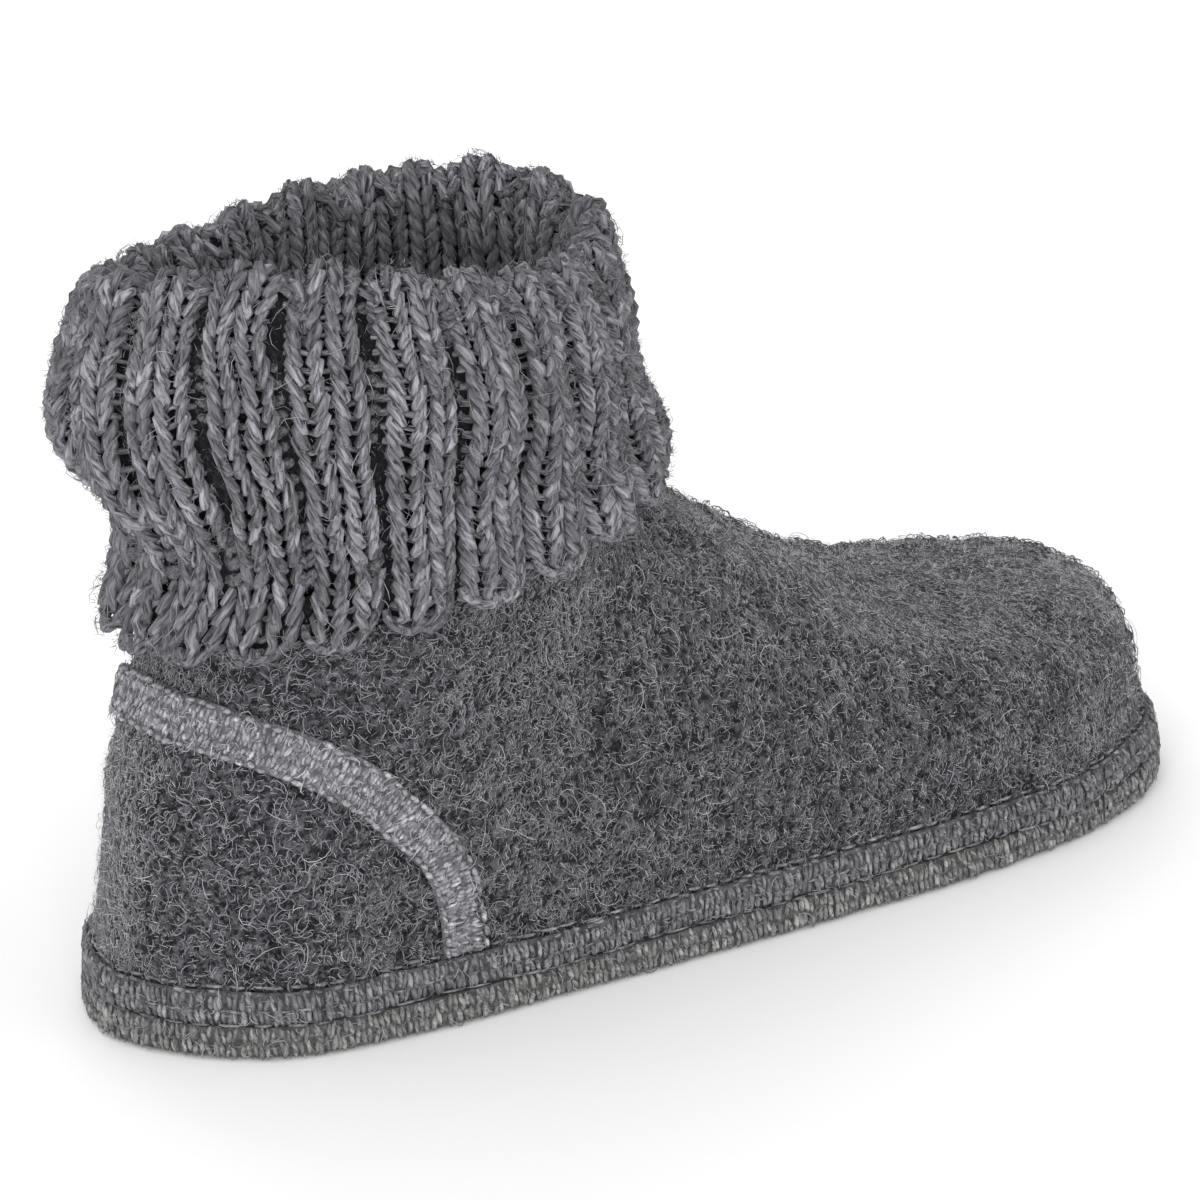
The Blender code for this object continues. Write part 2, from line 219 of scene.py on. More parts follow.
def felt(at, rise):
    """Outside of the felt: at round the foot, rise from 0 at the sole to 1 at the top."""
    at, rise = np.broadcast_arrays(np.asarray(at, float), np.asarray(rise, float))
    plan, out = outline(at)
    top, station = top_of_section(at)
    foot = np.concatenate([plan, (FOOT + spring(plan[..., 0]))[..., None]], -1)
    wall, crown, lean, drop = (np.interp(station, range(LAST + 1), COLUMN[:, k]) for k in (3, 4, 5, 6))
    height = top[..., 2] - foot[..., 2]
    up = np.zeros_like(foot)
    up[..., :2] = out * lean[..., None]
    up[..., 2] = wall * height
    flat = foot[..., :2] - top[..., :2]
    reach = np.linalg.norm(flat, axis=-1)
    drop = np.radians(drop)
    handle = np.hypot(reach * np.cos(drop), height * np.sin(drop)) * crown
    down = np.zeros_like(foot)
    down[..., :2] = flat / np.maximum(reach, 0.001)[..., None] * (np.cos(drop) * handle)[..., None]
    down[..., 2] = -np.sin(drop) * handle
    s = rise[..., None]
    inner_part = 3 * (1 - s)**2 * s * (foot + up) + 3 * (1 - s) * s**2 * (top + down)
    return (1 - s)**3 * foot + inner_part + s**3 * top


def felt_normal(at, rise):
    """Unit normal of the felt, pointing out; on the ridge both halves share one."""
    low = np.clip(np.asarray(rise) - 0.004, 0.0, None)
    along = felt(at + 0.01, rise) - felt(at - 0.01, rise)
    up = felt(at, rise + 0.004) - felt(at, low)
    normal = np.cross(up, along)
    station = LAST - np.abs(np.mod(at, TURN) - LAST)
    level = np.where(station < len(RIDGE) - 1, np.clip((1 - rise) / 0.06, 0.0, 1.0), 1.0)
    normal[..., 1] *= level
    return unit(normal)


def felt_slopes(at, rise):
    """Millimetres that the felt's point moves for one whole step of at, and of rise."""
    d_at = (felt(at + 0.01, rise) - felt(at - 0.01, rise)) / 0.02
    d_rise = (felt(at, rise + 0.005) - felt(at, rise - 0.005)) / 0.01
    return d_at, d_rise


def felt_moves(at, rise, wanted):
    """Steps of at and rise that move a point of the felt by the wanted millimetres."""
    d_at, d_rise = felt_slopes(at, rise)
    aa, ab, bb = ((p * q).sum(-1) for p, q in ((d_at, d_at), (d_at, d_rise), (d_rise, d_rise)))
    wa, wb = ((wanted * p).sum(-1) for p in (d_at, d_rise))
    whole = np.maximum(aa * bb - ab * ab, 1.0)
    step_at = np.clip((wa * bb - wb * ab) / whole, -0.6, 0.6)
    return step_at, np.clip((wb * aa - wa * ab) / whole, -0.3, 0.3)


def rise_at_height(at, height):
    """Share of the section's rise at which the felt reaches a height above the sole's top."""
    trial = np.linspace(0.0, 0.3, 31)
    z = felt(at[..., None], trial)[..., 2] - spring(outline(at)[0][..., 0])[..., None]
    found = [np.interp(one, row, trial) for one, row in zip(height.ravel(), z.reshape(-1, len(trial)))]
    return np.reshape(found, at.shape)


def cuff_ring(angle, row):
    """Outside of the cuff: angle 0 at the front, a quarter turn at the outer side."""
    back, front, half, z_back, z_front, outer, inner = np.moveaxis(spline(CUFF_ROWS, row), -1, 0)
    middle, long = (back + front) / 2, (front - back) / 2
    angle = angle + (middle - CUFF_MIDDLE) / long * np.sin(angle)
    x = middle + long * np.cos(angle)
    z = z_back + (z_front - z_back) * (1 + np.cos(angle)) / 2
    z = z + outer * np.clip(np.cos(angle - LIFT_OUTER), 0, 1)**2
    z = z + inner * np.clip(np.cos(angle - LIFT_INNER), 0, 1)**2
    return np.stack([x, -half * np.sin(angle), z], -1)


def cuff_normal(angle, row):
    """Unit normal of the cuff, away from the knit."""
    low = np.clip(row - 0.02, 0, None)
    high = np.clip(row + 0.02, None, len(CUFF) - 1)
    round_it = cuff_ring(angle + 0.01, row) - cuff_ring(angle - 0.01, row)
    along = cuff_ring(angle, high) - cuff_ring(angle, low)
    return unit(np.cross(round_it, along))


def frame_origin():
    """Place of the frame's origin in the tables' millimetres, from the rim of the sole tape."""
    rim = outline(np.arange(RIM_POINTS) * TURN / RIM_POINTS, SOLE_TAPE_REACH)[0]
    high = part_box("sole_tape")[1]
    return np.array([rim[:, 0].max() - high[0] / MM, rim[:, 1].max() - high[1] / MM, 0.0])


ORIGIN = frame_origin()


def to_frame(points):
    """Table millimetres to the frame's metres."""
    return (points - ORIGIN) * MM


def soft_noise(points, size, seed):
    """Even, repeatable unevenness between about -1 and 1: crossed waves near one size in millimetres."""
    rng = np.random.default_rng(seed)
    total = 0.0
    for _ in range(7):
        direction = unit(rng.normal(size=points.shape[-1]))
        wave = 2 * np.pi / (size * rng.uniform(0.7, 1.4))
        total = total + np.sin(points @ direction * wave + rng.uniform(0, 2 * np.pi))
    return total * 0.45


def felt_relief(points):
    """Height of the felt's soft lumps and of the listed creases."""
    height = sum(much * soft_noise(points, size, seed) for much, size, seed in FELT_WAVES)
    for name, start, end, width, depth in CREASES:
        share = np.linspace(0.0, 1.0, 25)
        line = felt(start[0] + (end[0] - start[0]) * share, start[1] + (end[1] - start[1]) * share)
        line = line.reshape((1,) * (points.ndim - 1) + line.shape)
        apart = np.linalg.norm(points[..., None, :] - line, axis=-1)
        near = apart.argmin(axis=-1)
        away = apart.min(axis=-1) / width
        fade = np.sin(np.pi * np.clip(share[near], 0.04, 0.96))**0.6
        height = height - depth * fade * (np.exp(-away**2) - 0.4 * np.exp(-(away - 1.9)**2))
    return height


def felt_at(at, rise, out=0.0):
    """Point on the uneven felt, out millimetres off its face."""
    smooth = felt(at, rise)
    lift = felt_relief(smooth) + out
    return smooth + felt_normal(at, rise) * lift[..., None]


# Colours and materials

# layers of matted fibres: seed, size of their curls in millimetres, line width, how pale
FELT_STRANDS = (
    (1.0, 2.2, 0.065, 1.0),
    (5.0, 1.6, 0.080, 0.85),
    (9.0, 1.1, 0.100, 0.7),
)
# pits and tufts of the felt, the pits darkened as painted shade: size in millimetres, roughness of the
# noise, its upper end, darkest share
FELT_PITS = (
    (1.7, 0.6, 0.60, 0.15),
    (6.0, 0.5, 0.62, 0.55),
)
YARN_TWIST = 0.9       # turn of the streaks in the UV cells: about 25 degrees to the yarn


def linear(code):
    """Linear colour of an sRGB hex value."""
    parts = [int(code[k:k + 2], 16) / 255 for k in (0, 2, 4)]
    return tuple(c / 12.92 if c <= 0.04045 else ((c + 0.055) / 1.055)**2.4 for c in parts) + (1.0,)


def add_node(tree, kind, settings, inputs, output=0):
    """One output of a new node; each input takes a value or the output of another node."""
    node = tree.nodes.new("ShaderNode" + kind)
    for name, value in settings.items():
        setattr(node, name, value)
    for name, value in inputs.items():
        if isinstance(value, bpy.types.NodeSocket):
            tree.links.new(value, node.inputs[name])
        else:
            node.inputs[name].default_value = value
    return node.outputs[output]


def new_material(name, roughness, specular, sheen=0.0, sheen_roughness=0.5):
    """Node material with the constants of its shader."""
    material = bpy.data.materials.new(name)
    material.use_nodes = True
    shader = material.node_tree.nodes["Principled BSDF"]
    shader.inputs["Roughness"].default_value = roughness
    shader.inputs["Specular IOR Level"].default_value = specular
    shader.inputs["Sheen Weight"].default_value = sheen
    shader.inputs["Sheen Roughness"].default_value = sheen_roughness
    return material, material.node_tree, shader


def felt_material(name, dark, middle, light, sheen):
    """Boiled-wool felt: matted curly fibres over pits darkened with painted shade, dull, with a pale nap.
    """
    material, tree, shader = new_material(name, 0.95, 0.15, sheen, 0.3)
    where = add_node(tree, "TexCoord", {}, {}, "Object")
    strands = 0.0
    for seed, size, width, weight in FELT_STRANDS:
        noise = add_node(
            tree, "TexNoise", {"noise_dimensions": "4D"},
            {"Vector": where, "W": seed, "Scale": 1 / (size * MM), "Detail": 1.0, "Distortion": 0.6}, "Fac")
        off = add_node(tree, "Math", {"operation": "SUBTRACT"}, {0: noise, 1: 0.5})
        away = add_node(tree, "Math", {"operation": "ABSOLUTE"}, {0: off})
        line = add_node(
            tree, "MapRange", {"interpolation_type": "SMOOTHSTEP"},
            {"Value": away, "From Min": 0.0, "From Max": width, "To Min": weight, "To Max": 0.0})
        strands = add_node(tree, "Math", {"operation": "MAXIMUM"}, {0: strands, 1: line})
    height = 1.0
    for size, roughness, top, darkest in FELT_PITS:
        noise = add_node(
            tree, "TexNoise", {},
            {"Vector": where, "Scale": 1 / (size * MM), "Detail": 2.0, "Roughness": roughness}, "Fac")
        level = add_node(
            tree, "MapRange", {},
            {"Value": noise, "From Min": 0.38, "From Max": top, "To Min": darkest, "To Max": 1.0})
        height = add_node(tree, "Math", {"operation": "MULTIPLY"}, {0: height, 1: level})
    share = add_node(tree, "Math", {"operation": "MULTIPLY"}, {0: strands, 1: height})
    # partly the felt's own dark fibres, partly painted shade: the ground darkens where the pits sink
    ground = add_node(
        tree, "Mix", {"data_type": "RGBA"}, {"Factor": height, "A": dark, "B": middle}, "Result")
    colour = add_node(
        tree, "Mix", {"data_type": "RGBA"}, {"Factor": share, "A": ground, "B": light}, "Result")
    relief = add_node(tree, "Math", {"operation": "MULTIPLY_ADD"}, {0: share, 1: 0.8, 2: height})
    bump = add_node(tree, "Bump", {}, {"Height": relief, "Strength": 1.0, "Distance": 0.4 * MM})
    tree.links.new(colour, shader.inputs["Base Color"])
    tree.links.new(bump, shader.inputs["Normal"])
    return material


def yarn_material(name, dark, light, streaks, turns):
    """Wool yarn: dark and pale fibres twisted together wind round each stitch as fine streaks."""
    material, tree, shader = new_material(name, 0.9, 0.15, 0.05)
    place = add_node(tree, "UVMap", {"uv_map": UV_NAME}, {})
    stretched = add_node(
        tree, "Mapping", {"vector_type": "TEXTURE"},
        {"Vector": place, "Rotation": (0.0, 0.0, YARN_TWIST),
         "Scale": (1 / (UV_CELLS * turns), 1 / (UV_CELLS * streaks), 1.0)})
    fibres = add_node(
        tree, "TexNoise", {"noise_dimensions": "2D"},
        {"Vector": stretched, "Scale": 1.0, "Detail": 2.0, "Roughness": 0.6, "Distortion": 0.5}, "Fac")
    pale = add_node(tree, "MapRange", {}, {"Value": fibres, "From Min": 0.28, "From Max": 0.76})
    # the stitch's UV column sets its tone: random, and dark as painted shade in the lining and the troughs
    stitch = add_node(tree, "SeparateXYZ", {}, {"Vector": place})
    tone = add_node(tree, "MapRange", {}, {"Value": stitch, "To Min": 0.45, "To Max": 1.1})
    share = add_node(tree, "Math", {"operation": "MULTIPLY", "use_clamp": True}, {0: pale, 1: tone})
    colour = add_node(
        tree, "Mix", {"data_type": "RGBA"}, {"Factor": share, "A": dark, "B": light}, "Result")
    bump = add_node(tree, "Bump", {}, {"Height": fibres, "Strength": 0.6, "Distance": 0.5 * MM})
    tree.links.new(colour, shader.inputs["Base Color"])
    tree.links.new(bump, shader.inputs["Normal"])
    return material


def hair_material(name, dark, light):
    """Loose wool hairs: thin and pale, each one tone along its length."""
    material, tree, shader = new_material(name, 0.8, 0.3)
    place = add_node(tree, "UVMap", {"uv_map": UV_NAME}, {})
    tone = add_node(tree, "SeparateXYZ", {}, {"Vector": place})
    colour = add_node(
        tree, "Mix", {"data_type": "RGBA"}, {"Factor": tone, "A": dark, "B": light}, "Result")
    tree.links.new(colour, shader.inputs["Base Color"])
    return material


def tape_ground_painted_shade(name, dark, light):
    """Ground of a knitted tape: wool loops under the stitches, darker than their yarn as painted shade
    between them.
    """
    return felt_material(name, linear(dark), linear(light), linear(light), 0.1)


# Meshes


def finish_piece(piece, material, node, replaces=False):
    """Smooth shading, one material and the piece hung on the frame's root; with replaces, the part named
    node is hidden.
    """
    piece.data.materials.clear()
    piece.data.materials.append(material)
    piece.data.shade_smooth()
    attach(piece, "root")
    if replaces:
        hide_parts(node)


def rings(side, over, sides, start=0.0):
    """Directions all round, sides of them for each pair of crossed directions."""
    turn = np.arange(sides) * 2 * np.pi / sides + start
    return side[..., None, :] * np.cos(turn)[:, None] + over[..., None, :] * np.sin(turn)[:, None]


def tubes(paths, radius, facing, sides, closed):
    """Points and faces of many tubes at once: rings, or open tubes with flat ends.

    paths is (tubes, steps, 3) and radius (tubes, steps); facing points away from the ground.
    """
    count, steps = paths.shape[:2]
    if closed:
        ahead = np.roll(paths, -1, 1) - np.roll(paths, 1, 1)
    else:
        ahead = np.gradient(paths, axis=1)
    side = unit(np.cross(unit(ahead), facing))
    over = np.cross(side, unit(ahead))
    ring = rings(side, over, sides, -np.pi / 2)
    points = (paths[:, :, None] + ring * radius[..., None, None]).reshape(-1, 3)
    tube, step, edge = np.meshgrid(
        np.arange(count), np.arange(steps if closed else steps - 1), np.arange(sides), indexing="ij")
    base = tube * steps * sides
    here, there = step * sides, (step + 1) % steps * sides
    after = (edge + 1) % sides
    quads = np.stack([here + edge, here + after, there + after, there + edge], -1) + base[..., None]
    caps = np.zeros((0, sides), int)
    if not closed:
        first = np.arange(count)[:, None] * steps * sides + np.arange(sides)
        caps = np.concatenate([first[:, ::-1], first + (steps - 1) * sides])
    return points, quads.reshape(-1, 4).tolist() + caps.tolist()


def tube_uv(count, steps, sides, tone, rng):
    """UV corners of open tubes: a random cell each, its column taken from the tube's tone."""
    column = np.clip(tone * UV_CELLS, 0, UV_CELLS - 1).astype(int)
    cell = np.stack([column, rng.integers(0, UV_CELLS, count)], -1)
    step, edge = np.meshgrid(np.arange(steps - 1), np.arange(sides), indexing="ij")
    along = np.stack([step, step, step + 1, step + 1], -1) / (steps - 1)
    around = np.stack([edge, edge + 1, edge + 1, edge], -1) / sides
    inside = np.stack([along, around], -1).reshape(1, -1, 2) * 0.9 + 0.05
    corner = np.arange(sides) * 2 * np.pi / sides
    small = np.stack([np.cos(corner), np.sin(corner)], -1) * 0.03
    parts = [inside, small + (0.08, 0.5), small + (0.92, 0.5)]
    return np.concatenate([((cell[:, None] + part) / UV_CELLS).reshape(-1, 2) for part in parts])


def mesh_piece(name, points, faces, corners):
    """Object from table points, faces and UV corners."""
    mesh = bpy.data.meshes.new(name)
    mesh.from_pydata(to_frame(points).tolist(), [], faces)
    layer = mesh.uv_layers.new(name=UV_NAME)
    layer.data.foreach_set("uv", np.ascontiguousarray(corners, dtype=np.float32).ravel())
    piece = bpy.data.objects.new(name, mesh)
    bpy.context.collection.objects.link(piece)
    return piece


def tube_piece(name, paths, radius, facing, sides, tone, seed):
    """One object of many open tubes."""
    points, faces = tubes(paths, radius, facing, sides, False)
    count, steps = paths.shape[:2]
    return mesh_piece(name, points, faces, tube_uv(count, steps, sides, tone, np.random.default_rng(seed)))


def spike_piece(name, paths, thick, facing, tone, seed):
    """One object of many short hairs, each a slim pyramid from its foot to its tip."""
    rng = np.random.default_rng(seed)
    count = len(paths)
    foot, tip = paths[:, 0], paths[:, 1]
    ahead = unit(tip - foot)
    side = unit(np.cross(ahead, facing))
    ring = rings(side, np.cross(ahead, side), 3)
    ring = foot[:, None] + ring * (thick * rng.uniform(0.7, 1.3, count))[:, None, None]
    points = np.concatenate([ring, tip[:, None]], axis=1).reshape(-1, 3)
    pyramid = np.array([[0, 1, 3], [1, 2, 3], [2, 0, 3], [2, 1, 0]])
    faces = (4 * np.arange(count)[:, None, None] + pyramid).reshape(-1, 3)
    cell = np.stack([np.floor(tone * UV_CELLS), rng.integers(0, UV_CELLS, count)], -1)
    inside = np.tile([[0.2, 0.2], [0.8, 0.2], [0.5, 0.8]], (4, 1))
    corners = (cell[:, None] + inside) / UV_CELLS
    return mesh_piece(name, points, faces.tolist(), corners.reshape(-1, 2))


# curly hairs: steps along one, length in mean hair lengths, bend in radians, how far it stands off
CURLS = {
    "mat": (5, 1.0, 3.4, 0.85),
    "long": (7, 2.3, 4.6, 0.3),
    "cuff": (4, 1.6, 1.6, 0.9),
    "edge": (4, 0.8, 2.6, 0.5),
    "counter": (4, 1.0, 2.4, 0.6),
}


def curls(rng, count, kind, mean):
    """Loose curly hairs, each an arc in a plane of its own: steps along the ground and heights, in mm."""
    steps, long, bend, lift = CURLS[kind]
    reach = long * mean * rng.uniform(0.5, 1.4, (count, 1))
    whole = bend * rng.uniform(0.5, 1.2, (count, 1))
    turn = np.linspace(-0.5, 0.5, steps) * whole
    along = reach / whole * np.sin(turn)
    bulge = reach / whole * (np.cos(turn) - np.cos(whole / 2))
    heading, tilt, roll = (rng.uniform(0.0, most, (count, 1)) for most in (2 * np.pi, 0.9, np.pi))
    tilt = tilt - 0.45
    ahead = along * np.cos(tilt) - bulge * np.sin(roll) * np.sin(tilt)
    aside = bulge * np.cos(roll)
    east = ahead * np.cos(heading) - aside * np.sin(heading)
    north = ahead * np.sin(heading) + aside * np.cos(heading)
    return np.stack([east, north], -1), lift * (along * np.sin(tilt) + bulge * np.sin(roll) * np.cos(tilt))


def fuzz(rng, count, length):
    """Short straight hairs that lean every way: ground steps and heights of their two ends."""
    lean = rng.uniform(0.25, 1.25, count)
    heading = rng.uniform(0.0, 2 * np.pi, count)
    reach = length * rng.uniform(0.4, 1.3, count)
    ground = np.zeros((count, 2, 2))
    ground[:, 1] = np.stack([np.cos(heading), np.sin(heading)], -1) * (reach * np.sin(lean))[:, None]
    height = np.zeros((count, 2))
    height[:, 1] = reach * np.cos(lean)
    return ground, height


def hair_radius(rng, paths, thick):
    """Thickness of hairs, thin at both ends."""
    count, steps = paths.shape[:2]
    swell = 0.35 + 0.65 * np.sin(np.linspace(0.1, np.pi - 0.1, steps))
    return thick * rng.uniform(0.7, 1.3, (count, 1)) * swell


def loose_hairs(name, rng, paths, facing, thick, tones, seed, material, node):
    """One piece of loose hairs; tones are the two exponents of their spread from dark to pale."""
    radius = hair_radius(rng, paths, thick)
    hairs = tube_piece(name, paths, radius, facing, 3, rng.beta(*tones, len(paths)), seed)
    finish_piece(hairs, material, node)


def grains(low, high, facing, thick):
    """Rounded yarn grains between two rows of points: paths, radii and facings."""
    share = np.array([0.0, 0.3, 0.7, 1.0])
    paths = low[:, None] + (high - low)[:, None] * share[:, None]
    paths = paths + facing[:, None] * (np.array([-0.5, 0.25, 0.25, -0.5]) * thick)[:, None]
    radius = np.broadcast_to(np.array([0.5, 1.0, 1.0, 0.5]) * thick, paths.shape[:2])
    return paths, radius, np.broadcast_to(facing[:, None], paths.shape)


def grain_piece(name, parts, seed, material, node):
    """One object of all the grains in parts, each a little thicker or thinner than the next."""
    rng = np.random.default_rng(seed)
    paths, radius, facing = (np.concatenate([part[k] for part in parts]) for k in range(3))
    radius = radius * rng.uniform(0.8, 1.2, (len(radius), 1))
    finish_piece(tube_piece(name, paths, radius, facing, 4, rng.random(len(paths)), seed), material, node)


def read_points(piece):
    """Points of a piece's mesh."""
    flat = np.empty(len(piece.data.vertices) * 3)
    piece.data.vertices.foreach_get("co", flat)
    return flat.reshape(-1, 3)


def write_points(piece, points):
    """Moves the points of a piece's mesh to table points."""
    piece.data.vertices.foreach_set("co", to_frame(points).ravel())


def grid_piece(name, columns, rows, shape, apart=0.02, wall=0.0):
    """Grid primitive moved into table millimetres by shape(u, v), both from 0 to 1.

    Points less than apart millimetres from each other are merged; a wall is added behind an open sheet.
    """
    bpy.ops.object.select_all(action="DESELECT")
    bpy.ops.mesh.primitive_grid_add(x_subdivisions=columns, y_subdivisions=rows, size=1.0)
    piece = bpy.context.object
    piece.name = piece.data.name = name
    flat = read_points(piece) + 0.5
    write_points(piece, shape(flat[:, 0], flat[:, 1]))
    bpy.ops.object.mode_set(mode="EDIT")
    bpy.ops.mesh.select_all(action="SELECT")
    bpy.ops.mesh.remove_doubles(threshold=apart * MM)
    bpy.ops.mesh.dissolve_degenerate(threshold=0.005 * MM)
    bpy.ops.mesh.normals_make_consistent(inside=False)
    bpy.ops.object.mode_set(mode="OBJECT")
    if wall:
        solid = piece.modifiers.new("wall", "SOLIDIFY")
        solid.thickness = wall * MM
        solid.offset = -1.0
        bpy.ops.object.modifier_apply(modifier=solid.name)
    return piece


def run_length(points):
    """Length along a line of points, from 0 at its start."""
    return np.concatenate([[0.0], np.cumsum(np.linalg.norm(np.diff(points, axis=0), axis=1))])


def even_round(count, grow):
    """Values of at that stand evenly along the plan's edge, and the step from each to the next."""
    dense = np.linspace(0.0, TURN, FINE)
    length = run_length(outline(dense, grow)[0])
    at = np.interp(np.arange(count) / count * length[-1], length, dense)
    return at, np.mod(np.roll(at, -1) - at, TURN)


# Knit of the cuff

KNIT_WIDE = 7.1        # one knit stitch at the bulge
PURL_WIDE = 2.6        # the purl trough between two ribs
RIB_WIDE = 2 * KNIT_WIDE + PURL_WIDE
KNIT_STEPS = 12        # steps along a knit stitch
PURL_STEPS = 6         # steps along the purl bump
LOOP_SWAY = 0.22       # sideways sway of a loop, in stitch widths
LOOP_RISE = 1.05       # half height of a loop, in rows
LOOP_DEEP = 1.3        # how far the loop's ends dip behind its legs
RIB_DEEP = 4.3         # depth of the troughs
TROUGH_OPEN = (48.0, 18.0)  # height and half span of the bulge, where the troughs show their purl bumps
KNIT_SINK = 1.7        # the yarn's middle under the solid's face
FOLD_UP = 69.0         # length of knit from the hem to the fold
HEM_UP = 1.2           # the first loops hang this far above the solid's hem
SCALLOP = 1.6          # how far the ribs hang below the troughs at the hem
CROWD = 0.19           # how much wider the ribs grow where they close up
# painted shade inside the cuff: the lining's stitches and the purl bumps take darker tones
LINING_PAINTED_SHADE = 0.95    # share of the paler stitches that the lining lacks
CUFF_HAIRS = 1500      # long loose hairs on the cuff
CUFF_FUZZ = 14000      # short standing hairs on the cuff
# unevenness of single stitches: mm across, mm up, mm out, share of the thickness
STITCH_JITTER = (0.35, 0.25, 0.25, 0.08)
# slow waves of the knit across, up and out: height, size, seed
KNIT_WAVES = ((0.8, 46.0, 21), (0.5, 33.0, 22), (0.45, 24.0, 23))
# soft forms of the cuff: share round it, mm up from the hem, half share, half height, depth
CUFF_FOLDS = (
    ("back_pinch", 0.215, 22.5, 0.075, 6.0, 2.8),
    ("back_bulge", 0.19, 37.0, 0.10, 6.0, -1.2),
    ("back_rim", 0.35, 67.0, 0.08, 9.0, 1.3),
    ("far_rim", 0.495, 67.0, 0.06, 9.0, 2.3),
    ("far_rim_front", 0.61, 67.0, 0.035, 9.0, 1.7),
    ("near_rim", 0.07, 68.0, 0.13, 10.0, -3.2),
)
# sway of the ribs: share round the cuff, mm up from the hem, half share, half height, mm towards the back
RIB_SWAY = (
    ("hem_back", 0.08, 0.0, 0.10, 16.0, 3.6),
    ("pinch_front", 0.03, 27.0, 0.06, 6.0, -2.2),
    ("shoulder_back", 0.02, 56.0, 0.05, 9.0, 3.0),
    ("side_front", -0.10, 40.0, 0.05, 12.0, -2.0),
    ("far_rim", 0.575, 67.0, 0.09, 16.0, -8.5),
)


def rib_angle(share):
    """Angle of a share of the way round, counted from a trough on the outer side."""
    dense = np.linspace(0.0, 2 * np.pi, FINE)
    length = run_length(cuff_ring(dense, np.full_like(dense, RIB_ROW)))
    start = np.interp(RIB_TROUGH, dense, length) / length[-1]
    whole = np.floor(share + start)
    return np.interp((share + start - whole) * length[-1], length, dense) + 2 * np.pi * whole


def cuff_lengths():
    """Mean length of knit from the hem up, and the rows of the cuff at these lengths."""
    rows = np.linspace(len(CUFF) - 1, 0.0, 401)
    angle = np.linspace(0.0, 2 * np.pi, 73)[:-1]
    ring = cuff_ring(angle, np.broadcast_to(rows[:, None], (len(rows), len(angle))))
    step = np.linalg.norm(np.diff(ring, axis=0), axis=-1).mean(axis=1)
    return np.concatenate([[0.0], np.cumsum(step)]), rows


CUFF_UP, CUFF_ROW = cuff_lengths()
KNIT_LONG = CUFF_UP[-1]


def soft_spots(table, share, up):
    """Sum of a table's soft forms at places on the cuff."""
    total = np.zeros(np.broadcast(share, up).shape)
    for name, middle, level, wide, high, much in table:
        away = (np.mod(share - middle + 0.5, 1.0) - 0.5) / wide
        total = total + much * np.exp(-away**2 - ((up - level) / high)**2)
    return total


def cuff_at(share, up, out):
    """Point and normal of the cuff: share round it, up millimetres from the hem, out off its face."""
    share = share + soft_spots(RIB_SWAY, share, up) / (RIB_WIDE * RIBS)
    row = np.interp(up, CUFF_UP, CUFF_ROW)
    slip = HEM_SLIP * np.clip((row - SLIP_ROWS[0]) / (SLIP_ROWS[1] - SLIP_ROWS[0]), 0.0, 1.0)
    angle = rib_angle(share) - slip
    normal = cuff_normal(angle, row)
    lift = np.asarray(out, float) - soft_spots(CUFF_FOLDS, share, up)
    point = cuff_ring(angle, row) + normal * lift[..., None]
    point[..., 2] -= np.clip(-np.asarray(up), 0.0, None)
    return point, normal


def closed_ribs(up):
    """How far the ribs close up: 0 at the bulge, half shut at the hem, 1 from the fold on."""
    return np.clip((up - FOLD_UP + 10.0) / 10.0, 0.0, 1.0) + 0.9 * np.clip((28.0 - up) / 16.0, 0.0, 1.0)


def rib_crown(across, up):
    """Height of a rib over its width from trough to trough: rounder on the fold, flatter in the lining."""
    crest = np.exp(-((up - FOLD_UP) / 9.0)**2)
    lining = np.clip((up - FOLD_UP - 4.0) / 12.0, 0.0, 1.0)
    return -RIB_DEEP * (1.0 + 0.2 * crest - 0.5 * lining) * np.abs(2 * across - 1)**(2.6 - 0.6 * crest)


def course_steps():
    """One rib of a course: across in mm, rise in rows, height in mm, thickness, swing, stitch number."""
    turn = np.arange(KNIT_STEPS) / KNIT_STEPS * 2 * np.pi
    start = PURL_WIDE / 2
    parts = []
    for k in range(2):
        parts.append((
            start + KNIT_WIDE * (k + turn / (2 * np.pi) + LOOP_SWAY * np.sin(2 * turn)),
            -LOOP_RISE * np.cos(turn),
            -LOOP_DEEP * np.cos(2 * turn),
            0.52 + 0.48 * np.sin(turn)**2,
            np.sin(turn / 2)**2,
            np.full(KNIT_STEPS, k)))
    share = np.arange(PURL_STEPS) / PURL_STEPS
    hump = np.sin(np.pi * share)
    parts.append((
        start + 2 * KNIT_WIDE + PURL_WIDE * share,
        -LOOP_RISE + 0.35 * hump,
        -LOOP_DEEP + 1.3 * hump,
        0.8 + 0.15 * hump,
        np.zeros(PURL_STEPS),
        np.full(PURL_STEPS, 2)))
    return [np.concatenate(column) for column in zip(*parts)]


